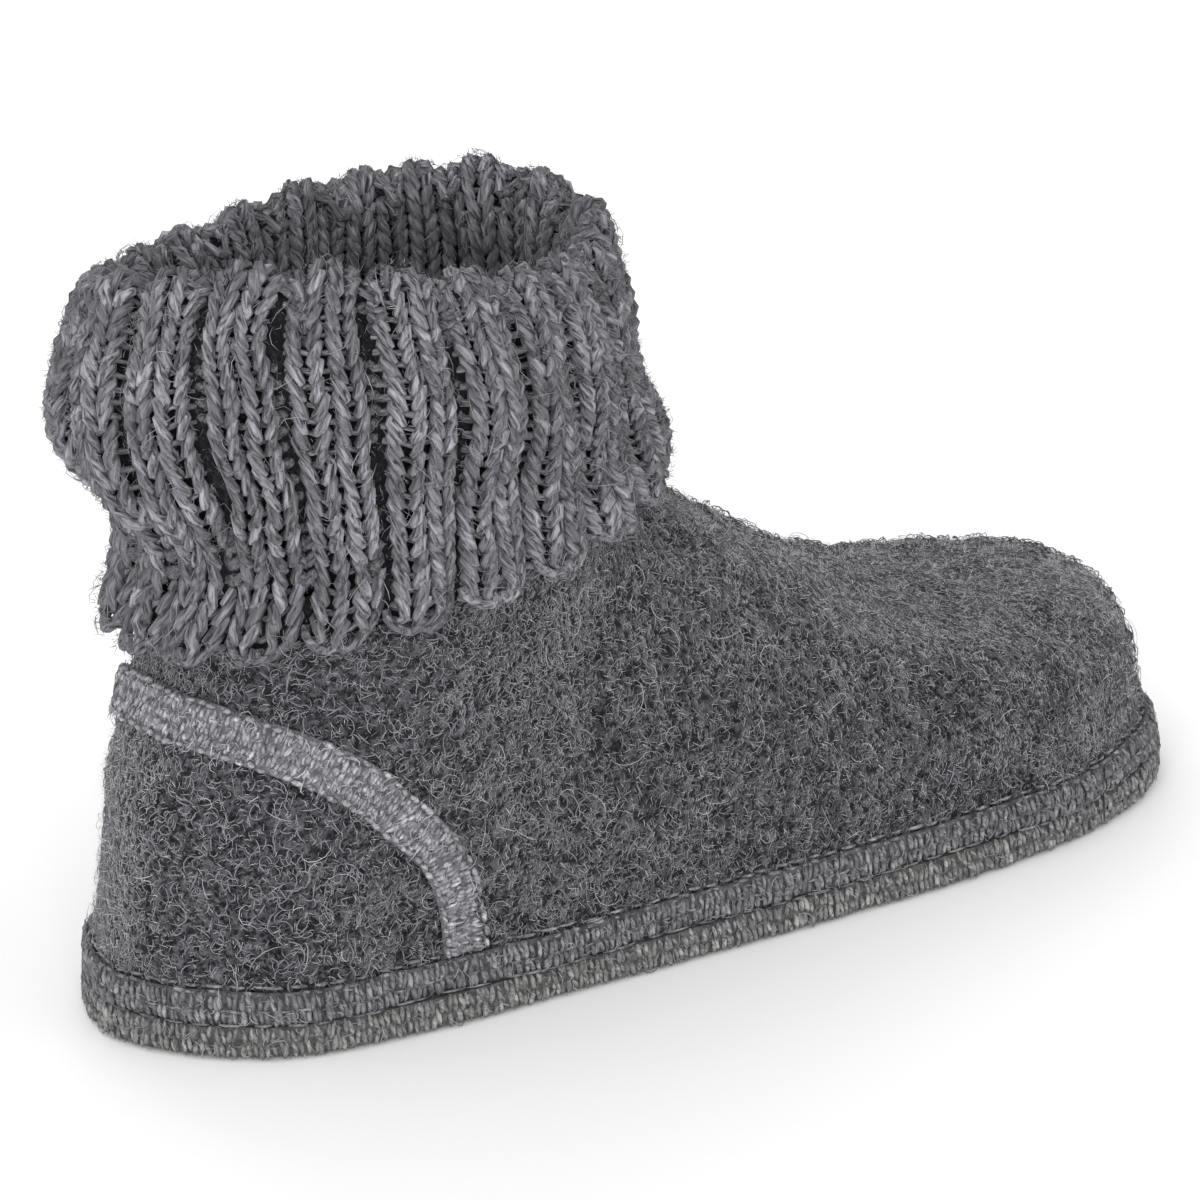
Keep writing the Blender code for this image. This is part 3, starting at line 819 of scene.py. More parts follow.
def knit_courses(first, last, row_high, yarn, sides, seed):
    """Rings of yarn for the courses from first to last: points, faces and UV corners."""
    rng = np.random.default_rng(seed)
    across, rise, height, thick, swing, stitch = course_steps()
    courses = np.arange(first, last)
    count = len(courses)
    purl, swing, thick = (np.tile(part, RIBS) for part in (stitch == 2, swing, thick))
    stitch = (np.arange(RIBS)[:, None] * 3 + stitch).ravel()
    jitter = rng.normal(0.0, 1.0, (4, count, RIBS * 3))[:, :, stitch]
    aside, lift, proud, fat = (much * part for much, part in zip(STITCH_JITTER, jitter))
    mm_across = (np.arange(RIBS)[:, None] * RIB_WIDE + across).ravel() + aside * swing
    rise, height = np.tile(rise, (count, RIBS)), np.tile(height, (count, RIBS))
    loose = (courses[:, None] == 0) & (rise < 0.0)
    height = np.where(loose, 0.3 * height, height)
    up = HEM_UP + (courses[:, None] + LOOP_RISE + rise) * row_high + lift * swing
    ground = np.stack([mm_across, up], -1)
    waves = [much * soft_noise(ground, size, seed) for much, size, seed in KNIT_WAVES]
    mm_across = mm_across + waves[0]
    rib = np.mod(mm_across / RIB_WIDE, 1.0)
    shut = closed_ribs(up)
    mm_across = mm_across + CROWD * shut * (rib - 0.5) * RIB_WIDE * ~purl
    rib = np.clip(0.5 + (rib - 0.5) * (1.0 + CROWD * shut), 0.0, 1.0)
    hang = np.exp(-np.clip(up, 0.0, None) / 9.0)
    up = up + waves[1] - SCALLOP * hang * np.cos(2 * np.pi * (rib - 0.5))
    gape = np.exp(-((up - TROUGH_OPEN[0]) / TROUGH_OPEN[1])**2)
    out = height + rib_crown(rib, up) - KNIT_SINK + proud * swing
    out = out + np.where(purl, 1.6 * gape - 1.5 - 0.9 * shut, 0.0)
    path, normal = cuff_at(mm_across / (RIB_WIDE * RIBS), up, out + waves[2])
    around = np.linalg.norm(np.diff(path, axis=1), axis=-1).sum(axis=1)
    tight = np.clip(around / around.max(), 0.78, 1.0)[:, None]
    radius = yarn * thick * tight * (1.0 + fat)
    points, faces = tubes(path, radius, normal, sides, True)
    cell = rng.integers(0, UV_CELLS, (2, count, RIBS * 3))[:, :, stitch]
    # painted shade: the lining, and the purl bumps in the troughs, take the darker UV columns
    shade = np.clip((courses * row_high - FOLD_UP - 2.0) / 14.0, 0.0, 1.0)[:, None]
    cell[0] = np.floor(cell[0] * (1.0 - LINING_PAINTED_SHADE * np.maximum(shade, 0.8 * purl)))
    return points, faces, knit_uv(cell, sides)


def knit_uv(cell, sides):
    """UV corners of the courses: each stitch fills its cell, lengthwise along the yarn."""
    stitches = (KNIT_STEPS, KNIT_STEPS, PURL_STEPS)
    place = np.tile(np.concatenate([np.arange(steps) / steps for steps in stitches]), RIBS)
    size = np.tile(np.concatenate([np.full(steps, 1 / steps) for steps in stitches]), RIBS)
    edge = np.arange(sides)
    low, high = (cell[1][:, :, None] + 0.04 + 0.92 * side / sides for side in (edge, edge + 1))
    along = [(cell[0] + 0.04 + 0.92 * spot)[:, :, None] for spot in (place, place + size)]
    here, there = (np.broadcast_to(spot, low.shape) for spot in along)
    corners = np.stack([here, low, here, high, there, high, there, low], -1) / UV_CELLS
    return corners.reshape(-1, 2)


# What a user would change


def size_setting(name, description, default, least, most):
    """Size in millimetres."""
    return FloatProperty(name=name, description=description, default=default, min=least, max=most)


def count_setting(name, description, default, most):
    """Number of hairs."""
    return IntProperty(name=name, description=description, default=default, min=0, max=most)


def colour_setting(name, description, code):
    """Colour from its sRGB hex value."""
    return FloatVectorProperty(
        name=name, description=description, subtype="COLOR", size=4, default=linear(code))


class SlipperSizes(bpy.types.PropertyGroup):
    """Sizes of the wool, in millimetres."""
    yarn: size_setting("Yarn radius", "Radius of the cuff's yarn on a stitch's leg", 1.3, 0.5, 3.0)
    row_high: size_setting("Row height", "Height of one row of the cuff's knit", 3.0, 2.0, 8.0)
    hair: size_setting("Hair radius", "Radius of the loose hairs of the felt", 0.125, 0.05, 0.4)
    hair_long: size_setting("Hair length", "Mean length of the loose hairs", 3.8, 1.0, 20.0)
    mat_hairs: count_setting("Matted hairs", "Matted hairs on each side of the felt", 5700, 7500)
    nap_hairs: count_setting("Nap hairs", "Standing hairs on each side of the felt", 14000, 40000)
    stitch: size_setting("Tape stitch", "Distance between the stitches of the edge tapes", 1.3, 1.0, 4.0)


class SlipperColours(bpy.types.PropertyGroup):
    """Colours of the wool."""
    # painted shade: the colour of the felt's pits stands in for the shadow in them
    felt_pit_shade: colour_setting("Felt, pits", "Pits between the matted fibres", "0e0e11")
    felt_middle: colour_setting("Felt", "Body of the felt", "2a2a2e")
    felt_light: colour_setting("Felt, fibres", "Pale matted fibres", "707075")
    hair_dark: colour_setting("Hair, dark", "Darkest loose hairs", "343439")
    hair_light: colour_setting("Hair, pale", "Palest loose hairs", "86868c")
    yarn_dark: colour_setting("Yarn, dark", "Dark fibres of the cuff's yarn", "2c2c30")
    yarn_light: colour_setting("Yarn, pale", "Pale fibres of the cuff's yarn", "acacb2")
    tape_dark: colour_setting("Tape, dark", "Dark fibres of the knitted tapes", "4c4c4f")
    tape_light: colour_setting("Tape, pale", "Pale fibres of the knitted tapes", "aaaaad")


def settings():
    """The two groups of settings."""
    return bpy.context.scene.slipper_sizes, bpy.context.scene.slipper_colours


# Pieces


class SLIPPER_OT_felt_shell(bpy.types.Operator):
    """Felt shell: one uneven sheet round the foot with its wall behind it"""
    bl_idname = "slipper.felt_shell"
    bl_label = "Felt shell"

    def execute(self, context):
        colours = settings()[1]
        shell = grid_piece(
            "felt_shell", 180, 44, lambda u, v: felt_at(u * TURN, v, -FELT_SINK), 0.15, FELT_WALL)
        material = felt_material(
            "boiled_wool_felt", colours.felt_pit_shade, colours.felt_middle, colours.felt_light, 0.6)
        finish_piece(shell, material, "upper", True)
        return {"FINISHED"}


class SLIPPER_OT_felt_hairs(bpy.types.Operator):
    """Matted hairs, a few long curls and a standing nap on the felt"""
    bl_idname = "slipper.felt_hairs"
    bl_label = "Felt hairs"

    def execute(self, context):
        sizes, colours = settings()
        matted = hair_material("matted_wool_hair", colours.hair_dark, colours.hair_light)
        # partly painted light: the near-white hairs stand in for light through the fibres at the felt's rim
        nap = hair_material("standing_wool_nap_painted_rim_light", linear("a4a4a9"), linear("f4f4f6"))
        for side, seed in (("outer", 31), ("inner", 33)):
            rng = np.random.default_rng(seed)
            at, rise = self.spots(rng, sizes.mat_hairs, side)
            ground, height = curls(rng, len(at), "mat", sizes.hair_long)
            tone = 0.55 * rng.beta(1.6, 2.0, len(at)) + 0.35 * np.clip(height.max(axis=1) / 1.5, 0.0, 1.0)
            spot = felt(at, rise)
            tone = tone + 0.13 * soft_noise(spot, 15.0, 35) + np.interp(spot[:, 0], HEEL_FELT, HEEL_PALE)
            height = height * np.interp(spot[:, 0], HEEL_FELT, HEEL_FLAT)[:, None]
            self.mat("felt_mat_" + side, rng, at, rise, ground, height, sizes.hair, tone, matted)
            at, rise = self.spots(rng, LONG_CURLS, side)
            ground, height = curls(rng, len(at), "long", sizes.hair_long)
            tone = rng.uniform(0.0, 0.4, len(at))
            self.mat("felt_curls_" + side, rng, at, rise, ground, height + 0.7, 0.5 * sizes.hair, tone, nap)
            at, rise = self.spots(rng, sizes.nap_hairs, side)
            ground, height = fuzz(rng, len(at), NAP_LONG)
            paths = self.lay(at, rise, ground, height - FELT_SINK)
            tone = rng.uniform(0.0, 0.99, len(at))
            hairs = spike_piece(
                "felt_nap_" + side, paths, 0.5 * sizes.hair, felt_normal(at, rise), tone, seed)
            finish_piece(hairs, nap, "upper")
        return {"FINISHED"}

    def mat(self, name, rng, at, rise, ground, height, thick, tone, material):
        """Coat of matted hairs on one side of the felt."""
        paths = self.lay(at, rise, ground, height + thick * 0.4 - FELT_SINK)
        facing = np.broadcast_to(felt_normal(at, rise)[:, None], paths.shape)
        radius = hair_radius(rng, paths, thick)
        hairs = tube_piece(name, paths, radius, facing, 3, np.clip(tone, 0.0, 0.999), len(at))
        finish_piece(hairs, material, "upper")

    def spots(self, rng, count, side):
        """Places spread evenly over the open felt of one side."""
        trial = count * 16
        at = rng.uniform(0.0, LAST, trial) + (0 if side == "outer" else LAST)
        rise = rng.uniform(0.03, 1.0, trial)
        area = np.linalg.norm(np.cross(*felt_slopes(at, rise)), axis=-1)
        keep = rng.random(trial) < area / np.percentile(area, 99.5)
        spot = felt(at, rise)
        hem = np.interp(spot[:, 0], HEM_LINE[0], HEM_LINE[1])
        keep &= (spot[:, 0] > HEM_LINE[0][1]) | (spot[:, 2] < hem)
        keep &= spot[:, 2] - spring(spot[:, 0]) > TAPE_TOP
        chosen = np.flatnonzero(keep)[:count]
        return at[chosen], rise[chosen]

    def lay(self, at, rise, ground, height):
        """Hairs laid on the felt: ground steps become steps of at and rise."""
        first = unit(felt_slopes(at, rise)[0])
        second = unit(np.cross(felt_normal(at, rise), first))
        wanted = ground[..., :1] * first[:, None] + ground[..., 1:] * second[:, None]
        at, rise = at[:, None], rise[:, None]
        step_at, step_rise = felt_moves(at, rise, wanted)
        return felt_at(at + step_at, np.clip(rise + step_rise, 0.0, 1.0), height)


class SLIPPER_OT_knit_cuff(bpy.types.Operator):
    """Turned-down cuff: every course is one ring of yarn, two knit stitches and a purl to a rib"""
    bl_idname = "slipper.knit_cuff"
    bl_label = "Knit cuff"

    def execute(self, context):
        sizes, colours = settings()
        courses = int((KNIT_LONG - 2.0) / sizes.row_high)
        material = yarn_material("melange_wool_yarn", colours.yarn_dark, colours.yarn_light, 12.0, 7.0)
        core = grid_piece("cuff_core", 100, 48, self.core)
        # painted shade: the core is dark felt so that the gaps between the stitches read as shadow
        dark = felt_material("knit_core_painted_shade", linear("101012"), linear("202023"), linear("343438"), 0.0)
        finish_piece(core, dark, "cuff", True)
        marks = np.linspace(0, courses, 4).astype(int)
        for name, first, last, seed in zip(("low", "fold", "lining"), marks[:-1], marks[1:], (41, 42, 43)):
            knit = knit_courses(first, last, sizes.row_high, sizes.yarn, 5, seed)
            finish_piece(mesh_piece("cuff_knit_" + name, *knit), material, "cuff")
        paths, normal = self.hem_loops()
        radius = np.full(paths.shape[:2], 0.75 * sizes.yarn)
        tone = np.linspace(0.0, 1.0, len(paths)) % 0.3 * 3
        loops = tube_piece("cuff_hem_loops", paths, radius, normal, 5, tone, 44)
        finish_piece(loops, material, "cuff")
        return {"FINISHED"}

    def hem_loops(self):
        """Cast-on edge: a wide and a narrow round loop under each rib."""
        rng = np.random.default_rng(45)
        count = RIBS * 2
        rib = np.repeat(np.arange(RIBS), 2) + np.tile([0.29, 0.73], RIBS) + rng.normal(0.0, 0.02, count)
        half = np.tile([3.9, 3.1], RIBS) * rng.uniform(0.85, 1.15, count)
        turn = np.linspace(0.0, np.pi, 7)
        ribs = rib[:, None] - half[:, None] * np.cos(turn) / RIB_WIDE
        place = np.mod(ribs, 1.0)
        up = HEM_UP + 2.4 - rng.uniform(2.4, 3.4, (count, 1)) * np.sin(turn)**0.8
        up = up - SCALLOP * np.cos(2 * np.pi * (place - 0.5))
        out = rib_crown(place, up) * 0.8 - KNIT_SINK + 0.4
        return cuff_at(ribs / RIBS, up, out)

    def core(self, u, v):
        """Inner face and back of the knit, so that no light falls through between stitches; dark as painted
        shade behind them.
        """
        up = 2.0 + np.abs(2 * np.mod(v, 1.0) - 1) * (KNIT_LONG - 3.0)
        deep = np.where(np.mod(v, 1.0) < 0.5, 4.9, 5.9)
        return cuff_at(u, up, -deep)[0]


class SLIPPER_OT_cuff_hairs(bpy.types.Operator):
    """Loose hairs that stand off the cuff's yarn"""
    bl_idname = "slipper.cuff_hairs"
    bl_label = "Cuff hairs"

    def execute(self, context):
        sizes, colours = settings()
        rng = np.random.default_rng(51)
        material = hair_material("loose_yarn_hair", colours.hair_dark, linear("acacb0"))
        paths, normal = self.lay(rng, *curls(rng, CUFF_HAIRS, "cuff", sizes.hair_long))
        loose_hairs("cuff_hairs", rng, paths, normal, 0.6 * sizes.hair, (2.5, 2.0), 52, material, "cuff")
        paths, normal = self.lay(rng, *fuzz(rng, CUFF_FUZZ, 2.0))
        tone = rng.beta(2.5, 2.0, CUFF_FUZZ)
        hairs = spike_piece("cuff_fuzz", paths, 0.6 * sizes.hair, normal[:, 0], tone, 53)
        finish_piece(hairs, material, "cuff")
        return {"FINISHED"}

    def lay(self, rng, ground, height):
        """Hairs laid all over the outside, the fold and the upper lining."""
        ups = rng.uniform(-1.0, KNIT_LONG * 0.8, (len(height), 1)) + ground[..., 1]
        shares = rng.random((len(height), 1)) + ground[..., 0] / (RIB_WIDE * RIBS)
        return cuff_at(shares, ups, height + 0.8 * rib_crown(np.mod(shares * RIBS, 1.0), ups))


EDGE_LONG = 640.0      # length of the edge tapes round the sole
EDGE_HAIRS = 1200      # loose hairs on each of them
TAPE_OUT = 1.75        # the grains' middle off the face that carries the tape
# section of a tape's band: middle and half height, middle and half depth off its carrier
UPPER_BAND = (10.1, 3.3, 0.8, 0.75)
LOWER_BAND = (3.6, 3.0, 1.0, 0.65)
# rows of stitches on a tape: their heights and the length of a grain
UPPER_ROWS = ((8.5, 3.4), (11.3, 3.4))
LOWER_ROWS = ((2.2, 3.2), (4.9, 3.2))
# sewing along the upper tape: height, distance off the felt, pitch, length and radius of a dash
UPPER_DASHES = (
    (14.0, 0.2, 4.4, 3.6, 0.36),
    (13.0, 0.9, 3.6, 3.0, 0.42),
    (9.9, 1.9, 4.6, 3.0, 0.30),
    (6.8, 1.9, 6.0, 4.8, 0.28),
)


class SLIPPER_OT_edge_tapes(bpy.types.Operator):
    """Two knitted edge tapes round the sole, with their stitches, edge dashes and groove thread"""
    bl_idname = "slipper.edge_tapes"
    bl_label = "Edge tapes"

    def execute(self, context):
        sizes, colours = settings()
        yarn = yarn_material("knitted_edge_tape", colours.tape_dark, colours.tape_light, 4.0, 2.0)
        low_yarn = yarn_material("knitted_sole_tape", linear("545454"), linear("b8b8b6"), 4.0, 2.0)
        upper = self.band("binding_tape", self.upper_point, *UPPER_BAND)
        finish_piece(upper, tape_ground_painted_shade("binding_ground", "303033", "68686c"), "binding", True)
        lower = self.band("sole_tape_band", self.lower_point, *LOWER_BAND)
        finish_piece(lower, tape_ground_painted_shade("sole_tape_ground", "3a3a3a", "70706f"), "sole_tape", True)
        rng = np.random.default_rng(61)
        rows = [self.row(rng, self.upper_point, *row, sizes.stitch) for row in UPPER_ROWS]
        dashes = [self.dashes(rng, *row) for row in UPPER_DASHES]
        grain_piece("binding_stitches", rows, 62, yarn, "binding")
        grain_piece("binding_dashes", dashes, 63, yarn, "binding")
        rows = [self.row(rng, self.lower_point, *row, sizes.stitch) for row in LOWER_ROWS]
        grain_piece("sole_tape_stitches", rows, 64, low_yarn, "sole_tape")
        hair = hair_material("loose_tape_hair", colours.hair_dark, linear("b0b0b2"))
        self.coat(rng, "binding", self.upper_point, 10.2, sizes, hair)
        self.coat(rng, "sole_tape", self.lower_point, 3.6, sizes, hair)
        return {"FINISHED"}

    def band(self, name, place, middle, tall, deep, wide):
        """Ground of one tape: a hoop with a rounded section."""
        def section(u, v):
            turn = 2 * np.pi * v
            out = deep + wide * np.sign(np.cos(turn)) * np.abs(np.cos(turn))**0.6
            return place(u * TURN, middle + tall * np.sin(turn), out)[0]
        return grid_piece(name, 240, 14, section)

    def row(self, rng, place, height, tall, pitch):
        """One row of upright grains, each leaning a little and standing a little off its place."""
        count = int(EDGE_LONG / pitch)
        at, step = even_round(count, 2.5)
        at = at + step * rng.normal(0.0, 0.2, count)
        lean = step * (0.15 + rng.normal(0.0, 0.22, count))
        lift = rng.normal(0.0, 0.3, count)
        long = tall * rng.uniform(0.75, 1.15, count) / 2
        out = TAPE_OUT + rng.normal(0.0, 0.15, count)
        low, side = place(at - lean, np.clip(height + lift - long, 0.5, None), out)
        high = place(at + lean, height + lift + long, out)[0]
        return grains(low, high, side, 0.42 * pitch)

    def coat(self, rng, node, place, middle, sizes, material):
        """Loose hairs over one tape."""
        at, step = even_round(EDGE_HAIRS, 2.5)
        step = step * EDGE_HAIRS / EDGE_LONG
        ground, height = curls(rng, EDGE_HAIRS, "edge", sizes.hair_long)
        level = np.clip(middle + rng.uniform(-2.8, 2.8, (EDGE_HAIRS, 1)) + ground[..., 1], 0.5, None)
        paths, normal = place(at[:, None] + step[:, None] * ground[..., 0], level, TAPE_OUT + 0.45 + height)
        loose_hairs(
            node + "_hairs", rng, paths, normal, 0.8 * sizes.hair, (1.6, 2.0), EDGE_HAIRS, material, node)

    def dashes(self, rng, height, out, pitch, long, thick):
        """One row of sewing dashes along the upper tape."""
        count = int(EDGE_LONG / pitch)
        at, step = even_round(count, 2.0)
        at = at + step * rng.normal(0.0, 0.15, count)
        reach = step * long / pitch * rng.uniform(0.6, 1.2, count)
        height = height + rng.normal(0.0, 0.15, count)
        low, side = self.upper_point(at, height, out)
        high = self.upper_point(at + reach, height + rng.normal(0.0, 0.2, count), out)[0]
        return grains(low, high, side, thick)

    def upper_point(self, at, height, out):
        """Point on the upper tape, against the foot of the felt."""
        rise = rise_at_height(at, np.broadcast_to(height, at.shape))
        normal = unit(felt_normal(at, rise) * [1.0, 1.0, 0.0])
        return felt_at(at, rise) + normal * np.asarray(out)[..., None], normal

    def lower_point(self, at, height, out):
        """Point on the lower tape, against the rim of the sole."""
        plan, side = outline(at, out)
        z = height + spring(plan[..., 0])
        normal = np.concatenate([side, np.zeros_like(side[..., :1])], -1)
        return np.concatenate([plan, z[..., None]], -1), normal


COUNTER_LONG = 250.0   # length of the counter tape
COUNTER_THICK = 0.9    # wall of its band
COUNTER_HAIRS = 900    # loose hairs on it
COUNTER_ROWS = (-2.4, 0.0, 2.4)  # rows of grains across it
COUNTER_EDGES = (-4.1, 4.1)      # and its two rows of raised dashes


class SLIPPER_OT_counter_tape(bpy.types.Operator):
    """Knitted tape that runs from the sole over the heel to the sole"""
    bl_idname = "slipper.counter_tape"
    bl_label = "Counter tape"

    def execute(self, context):
        sizes, colours = settings()
        band = grid_piece("counter_band", 180, 12, self.band, wall=COUNTER_THICK)
        finish_piece(band, tape_ground_painted_shade("counter_ground", "48484c", "86868b"), "counter_tape", True)
        yarn = yarn_material("knitted_counter_tape", linear("646468"), linear("cfcfd4"), 4.0, 2.0)
        rng = np.random.default_rng(71)
        parts = [self.row(rng, across) for across in COUNTER_ROWS]
        parts += [self.edge(rng, across) for across in COUNTER_EDGES]
        grain_piece("counter_stitches", parts, 72, yarn, "counter_tape")
        ground, height = curls(rng, COUNTER_HAIRS, "counter", sizes.hair_long)
        share = rng.uniform(0.0, 1.0, (COUNTER_HAIRS, 1)) + ground[..., 0] / COUNTER_LONG
        across = rng.uniform(-4.4, 4.4, (COUNTER_HAIRS, 1)) + ground[..., 1]
        paths, normal = self.point(share, across, 0.9 + height)
        hair = hair_material("loose_counter_hair", colours.hair_dark, linear("c0c0c4"))
        loose_hairs("counter_hairs", rng, paths, normal, sizes.hair, (1.6, 2.0), 73, hair, "counter_tape")
        return {"FINISHED"}

    def row(self, rng, across):
        """One row of grains that lie across the tape."""
        count = int(COUNTER_LONG / 1.2)
        share = (np.arange(count) + rng.normal(0.5, 0.14, count)) / count
        middle = across + rng.normal(0.0, 0.35, count)
        long = rng.uniform(0.8, 1.5, count)
        lean = rng.normal(0.1, 0.25, count) / count
        height = 0.68 + rng.normal(0.0, 0.1, count)
        low, side = self.point(share - lean, middle - long, height)
        high = self.point(share + lean, middle + long, height)[0]
        return grains(low, high, side, 0.48)

    def edge(self, rng, across):
        """Pale raised dashes along one edge of the tape."""
        count = int(COUNTER_LONG / 3.4)
        start = (np.arange(count) + rng.normal(0.0, 0.1, count)) / count
        shift = across + rng.normal(0.0, 0.25, count)
        height = 0.9 + rng.normal(0.0, 0.12, count)
        low, side = self.point(start, shift, height)
        end = start + rng.uniform(0.6, 1.0, count) / count
        high = self.point(end, shift + rng.normal(0.0, 0.2, count), height)[0]
        return grains(low, high, side, 0.56)

    def band(self, u, v):
        """Face of the tape, its edges turned down to the felt."""
        across = 2 * v - 1
        return self.point(u, across * COUNTER_HALF, 0.75 - 0.6 * np.abs(across)**4)[0]

    def line(self, share):
        """Tape's centre line and the steps of at and rise for one millimetre across."""
        rows = np.array(COUNTER)
        side = spline(rows, np.linspace(0, len(rows) - 1, 91))
        line = np.concatenate([side[::-1], side[1:] * [-1, 1] + [TURN, 0]])
        spots = felt(line[:, 0], line[:, 1])
        length = run_length(spots)
        along = np.clip(share, 0.0, 1.0) * length[-1]
        at, rise = (np.interp(along, length, line[:, k]) for k in range(2))
        ahead = np.stack([np.interp(along, length, np.gradient(spots[:, k])) for k in range(3)], -1)
        across = unit(np.cross(felt_normal(at, rise), ahead))
        return at, rise, *felt_moves(at, rise, across)

    def point(self, share, across, height):
        """Point and normal on the tape: share along it, across its middle, height off the felt."""
        at, rise, step_at, step_rise = self.line(share)
        at, rise = at + step_at * across, np.clip(rise + step_rise * across, 0.0, 1.0)
        return felt_at(at, rise, height + GAP), felt_normal(at, rise)


# rims of the two slabs from the bottom up: growth of the foot's plan, height
SOLE_RIMS = ((-1.0, 0.0), (0.3, 0.35), (0.5, 1.2), (0.5, SOLE_TOP - 0.6), (0.0, SOLE_TOP))
INSOLE_RIMS = ((-4.0, FOOT), (-4.0, INSOLE_TOP - 1.1), (-4.4, INSOLE_TOP - 0.3), (-5.2, INSOLE_TOP))
SLAB_POINTS = 120      # points round a rim


class SLIPPER_OT_sole(bpy.types.Operator):
    """Felt sole slab and the footbed above it"""
    bl_idname = "slipper.sole"
    bl_label = "Sole and insole"

    def execute(self, context):
        sole_felt = felt_material(
            "pressed_sole_felt", linear("2e2e30"), linear("4e4e51"), linear("74747a"), 0.1)
        finish_piece(self.slab("felt_sole", SOLE_RIMS), sole_felt, "sole", True)
        insole_felt = felt_material(
            "insole_felt", linear("4a4a4e"), linear("76767a"), linear("a0a0a6"), 0.2)
        finish_piece(self.slab("felt_insole", INSOLE_RIMS), insole_felt, "insole", True)
        return {"FINISHED"}

    def slab(self, name, rims):
        """Disc primitive extruded through its rims and shaped to the plan of the foot."""
        bpy.ops.object.select_all(action="DESELECT")
        bpy.ops.mesh.primitive_circle_add(vertices=SLAB_POINTS, radius=1.0, fill_type="NGON")
        piece = bpy.context.object
        piece.name = piece.data.name = name
        bpy.ops.object.mode_set(mode="EDIT")
        bpy.ops.mesh.select_all(action="SELECT")
        for _ in rims[1:]:
            bpy.ops.mesh.extrude_region_move(TRANSFORM_OT_translate={"value": (0.0, 0.0, 1.0)})
        bpy.ops.object.mode_set(mode="OBJECT")
        x, y, level = read_points(piece).T
        grow, z = np.array(rims)[np.rint(level).astype(int)].T
        place = np.rint(np.mod(np.arctan2(y, x), 2 * np.pi) / (2 * np.pi) * SLAB_POINTS).astype(int)
        plan = outline(even_round(SLAB_POINTS, 0.0)[0][place % SLAB_POINTS], grow)[0]
        write_points(piece, np.column_stack([plan, z + spring(plan[:, 0])]))
        bpy.ops.object.mode_set(mode="EDIT")
        bpy.ops.mesh.select_all(action="SELECT")
        bpy.ops.mesh.normals_make_consistent(inside=False)
        # extruding leaves points and faces in another order each run
        bpy.ops.mesh.sort_elements(type="CURSOR_DISTANCE", elements={"VERT", "FACE"})
        bpy.ops.object.mode_set(mode="OBJECT")
        return piece


# soft boxes: name, place and size in metres, power in watts
LAMPS = (
    ("key_light", (-1.4, -1.3, 0.7), 1.2, 21.0),
    ("fill_light", (1.4, -0.9, 1.1), 1.4, 0.5),
    ("top_light", (-0.2, 0.6, 2.0), 1.6, 1.2),
    ("back_light", (1.0, 1.7, 1.2), 1.4, 13.0),
)
LAMP_AIM = (0.0, 0.0, 0.06)
CAMERA_AZIMUTH = np.radians(-42.0)
CAMERA_ELEVATION = np.radians(19.5)
CAMERA_AWAY = 1.6      # metres from its target
CAMERA_TARGET = (123.6, -2.0, 60.4)
CAMERA_LENS = 245.8
CAMERA_SENSOR = 36.0


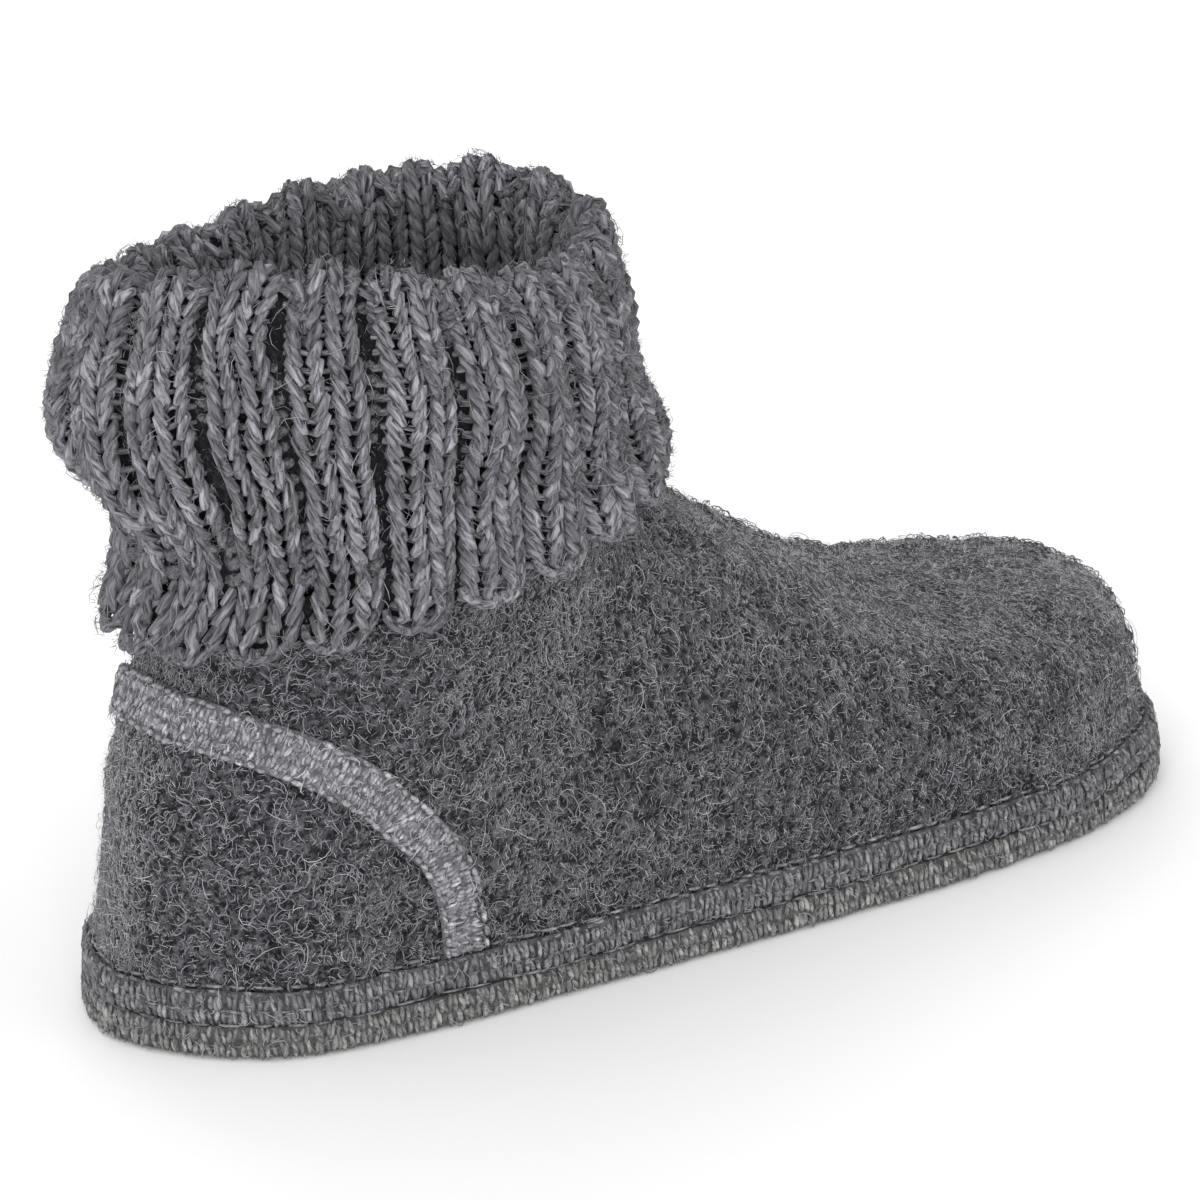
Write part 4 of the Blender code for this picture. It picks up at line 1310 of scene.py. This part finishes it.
class SLIPPER_OT_stage(bpy.types.Operator):
    """Pale floor, soft studio light and the camera at the photograph's angle"""
    bl_idname = "slipper.stage"
    bl_label = "Stage"

    def execute(self, context):
        scene = context.scene
        bpy.ops.object.select_all(action="DESELECT")
        bpy.ops.mesh.primitive_plane_add(size=12.0)
        floor = context.object
        floor.name = "floor"
        material, tree, shader = new_material("white_paper_floor", 1.0, 0.0)
        shader.inputs["Base Color"].default_value = linear("ffffff")
        shader.inputs["Emission Color"].default_value = linear("ffffff")
        shader.inputs["Emission Strength"].default_value = 0.02
        floor.data.materials.append(material)
        world = bpy.data.worlds.new("white_studio")
        world.use_nodes = True
        world.node_tree.nodes["Background"].inputs["Color"].default_value = linear("ffffff")
        world.node_tree.nodes["Background"].inputs["Strength"].default_value = 0.83
        scene.world = world
        scene.view_settings.view_transform = "Standard"
        for lamp in LAMPS:
            self.lamp(*lamp)
        flat = np.cos(CAMERA_ELEVATION)
        back = np.array([
            np.sin(CAMERA_AZIMUTH) * flat, -np.cos(CAMERA_AZIMUTH) * flat, np.sin(CAMERA_ELEVATION)])
        camera = bpy.data.objects.new("camera", bpy.data.cameras.new("camera"))
        camera.location = to_frame(np.array(CAMERA_TARGET)) + back * CAMERA_AWAY
        camera.rotation_euler = (np.pi / 2 - CAMERA_ELEVATION, 0.0, CAMERA_AZIMUTH)
        camera.data.sensor_width = CAMERA_SENSOR
        camera.data.lens = CAMERA_LENS
        scene.collection.objects.link(camera)
        scene.camera = camera
        return {"FINISHED"}

    def lamp(self, name, place, size, power):
        """Square soft box aimed at the slipper."""
        light = bpy.data.lights.new(name, "AREA")
        light.size = size
        light.energy = power
        lamp = bpy.data.objects.new(name, light)
        lamp.location = place
        aim = np.array(LAMP_AIM) - np.array(place)
        flat = np.hypot(aim[0], aim[1])
        lamp.rotation_euler = (np.arctan2(flat, -aim[2]), 0.0, np.arctan2(aim[1], aim[0]) - np.pi / 2)
        bpy.context.scene.collection.objects.link(lamp)


OPERATORS = (
    SLIPPER_OT_felt_shell,
    SLIPPER_OT_felt_hairs,
    SLIPPER_OT_knit_cuff,
    SLIPPER_OT_cuff_hairs,
    SLIPPER_OT_edge_tapes,
    SLIPPER_OT_counter_tape,
    SLIPPER_OT_sole,
    SLIPPER_OT_stage,
)


class SLIPPER_PT_panel(bpy.types.Panel):
    """Pieces of the slipper, in the order they are made"""
    bl_label = "Hut slipper"
    bl_idname = "SLIPPER_PT_panel"
    bl_space_type = "VIEW_3D"
    bl_region_type = "UI"
    bl_category = "Slipper"

    def draw(self, context):
        for group in settings():
            for name in group.__annotations__:
                self.layout.prop(group, name)
        for operator in OPERATORS:
            self.layout.operator(operator.bl_idname)


CLASSES = (SlipperSizes, SlipperColours) + OPERATORS + (SLIPPER_PT_panel,)


def register():
    """Registers the classes and hangs the settings on the scene."""
    for entry in CLASSES:
        bpy.utils.register_class(entry)
    bpy.types.Scene.slipper_sizes = PointerProperty(type=SlipperSizes)
    bpy.types.Scene.slipper_colours = PointerProperty(type=SlipperColours)


def unregister():
    """Takes the settings and the classes away again."""
    del bpy.types.Scene.slipper_colours
    del bpy.types.Scene.slipper_sizes
    for entry in reversed(CLASSES):
        bpy.utils.unregister_class(entry)


def main():
    """Makes every piece in order."""
    register()
    bpy.ops.slipper.felt_shell()
    bpy.ops.slipper.felt_hairs()
    bpy.ops.slipper.knit_cuff()
    bpy.ops.slipper.cuff_hairs()
    bpy.ops.slipper.edge_tapes()
    bpy.ops.slipper.counter_tape()
    bpy.ops.slipper.sole()
    bpy.ops.slipper.stage()


if __name__ == "__main__":
    main()
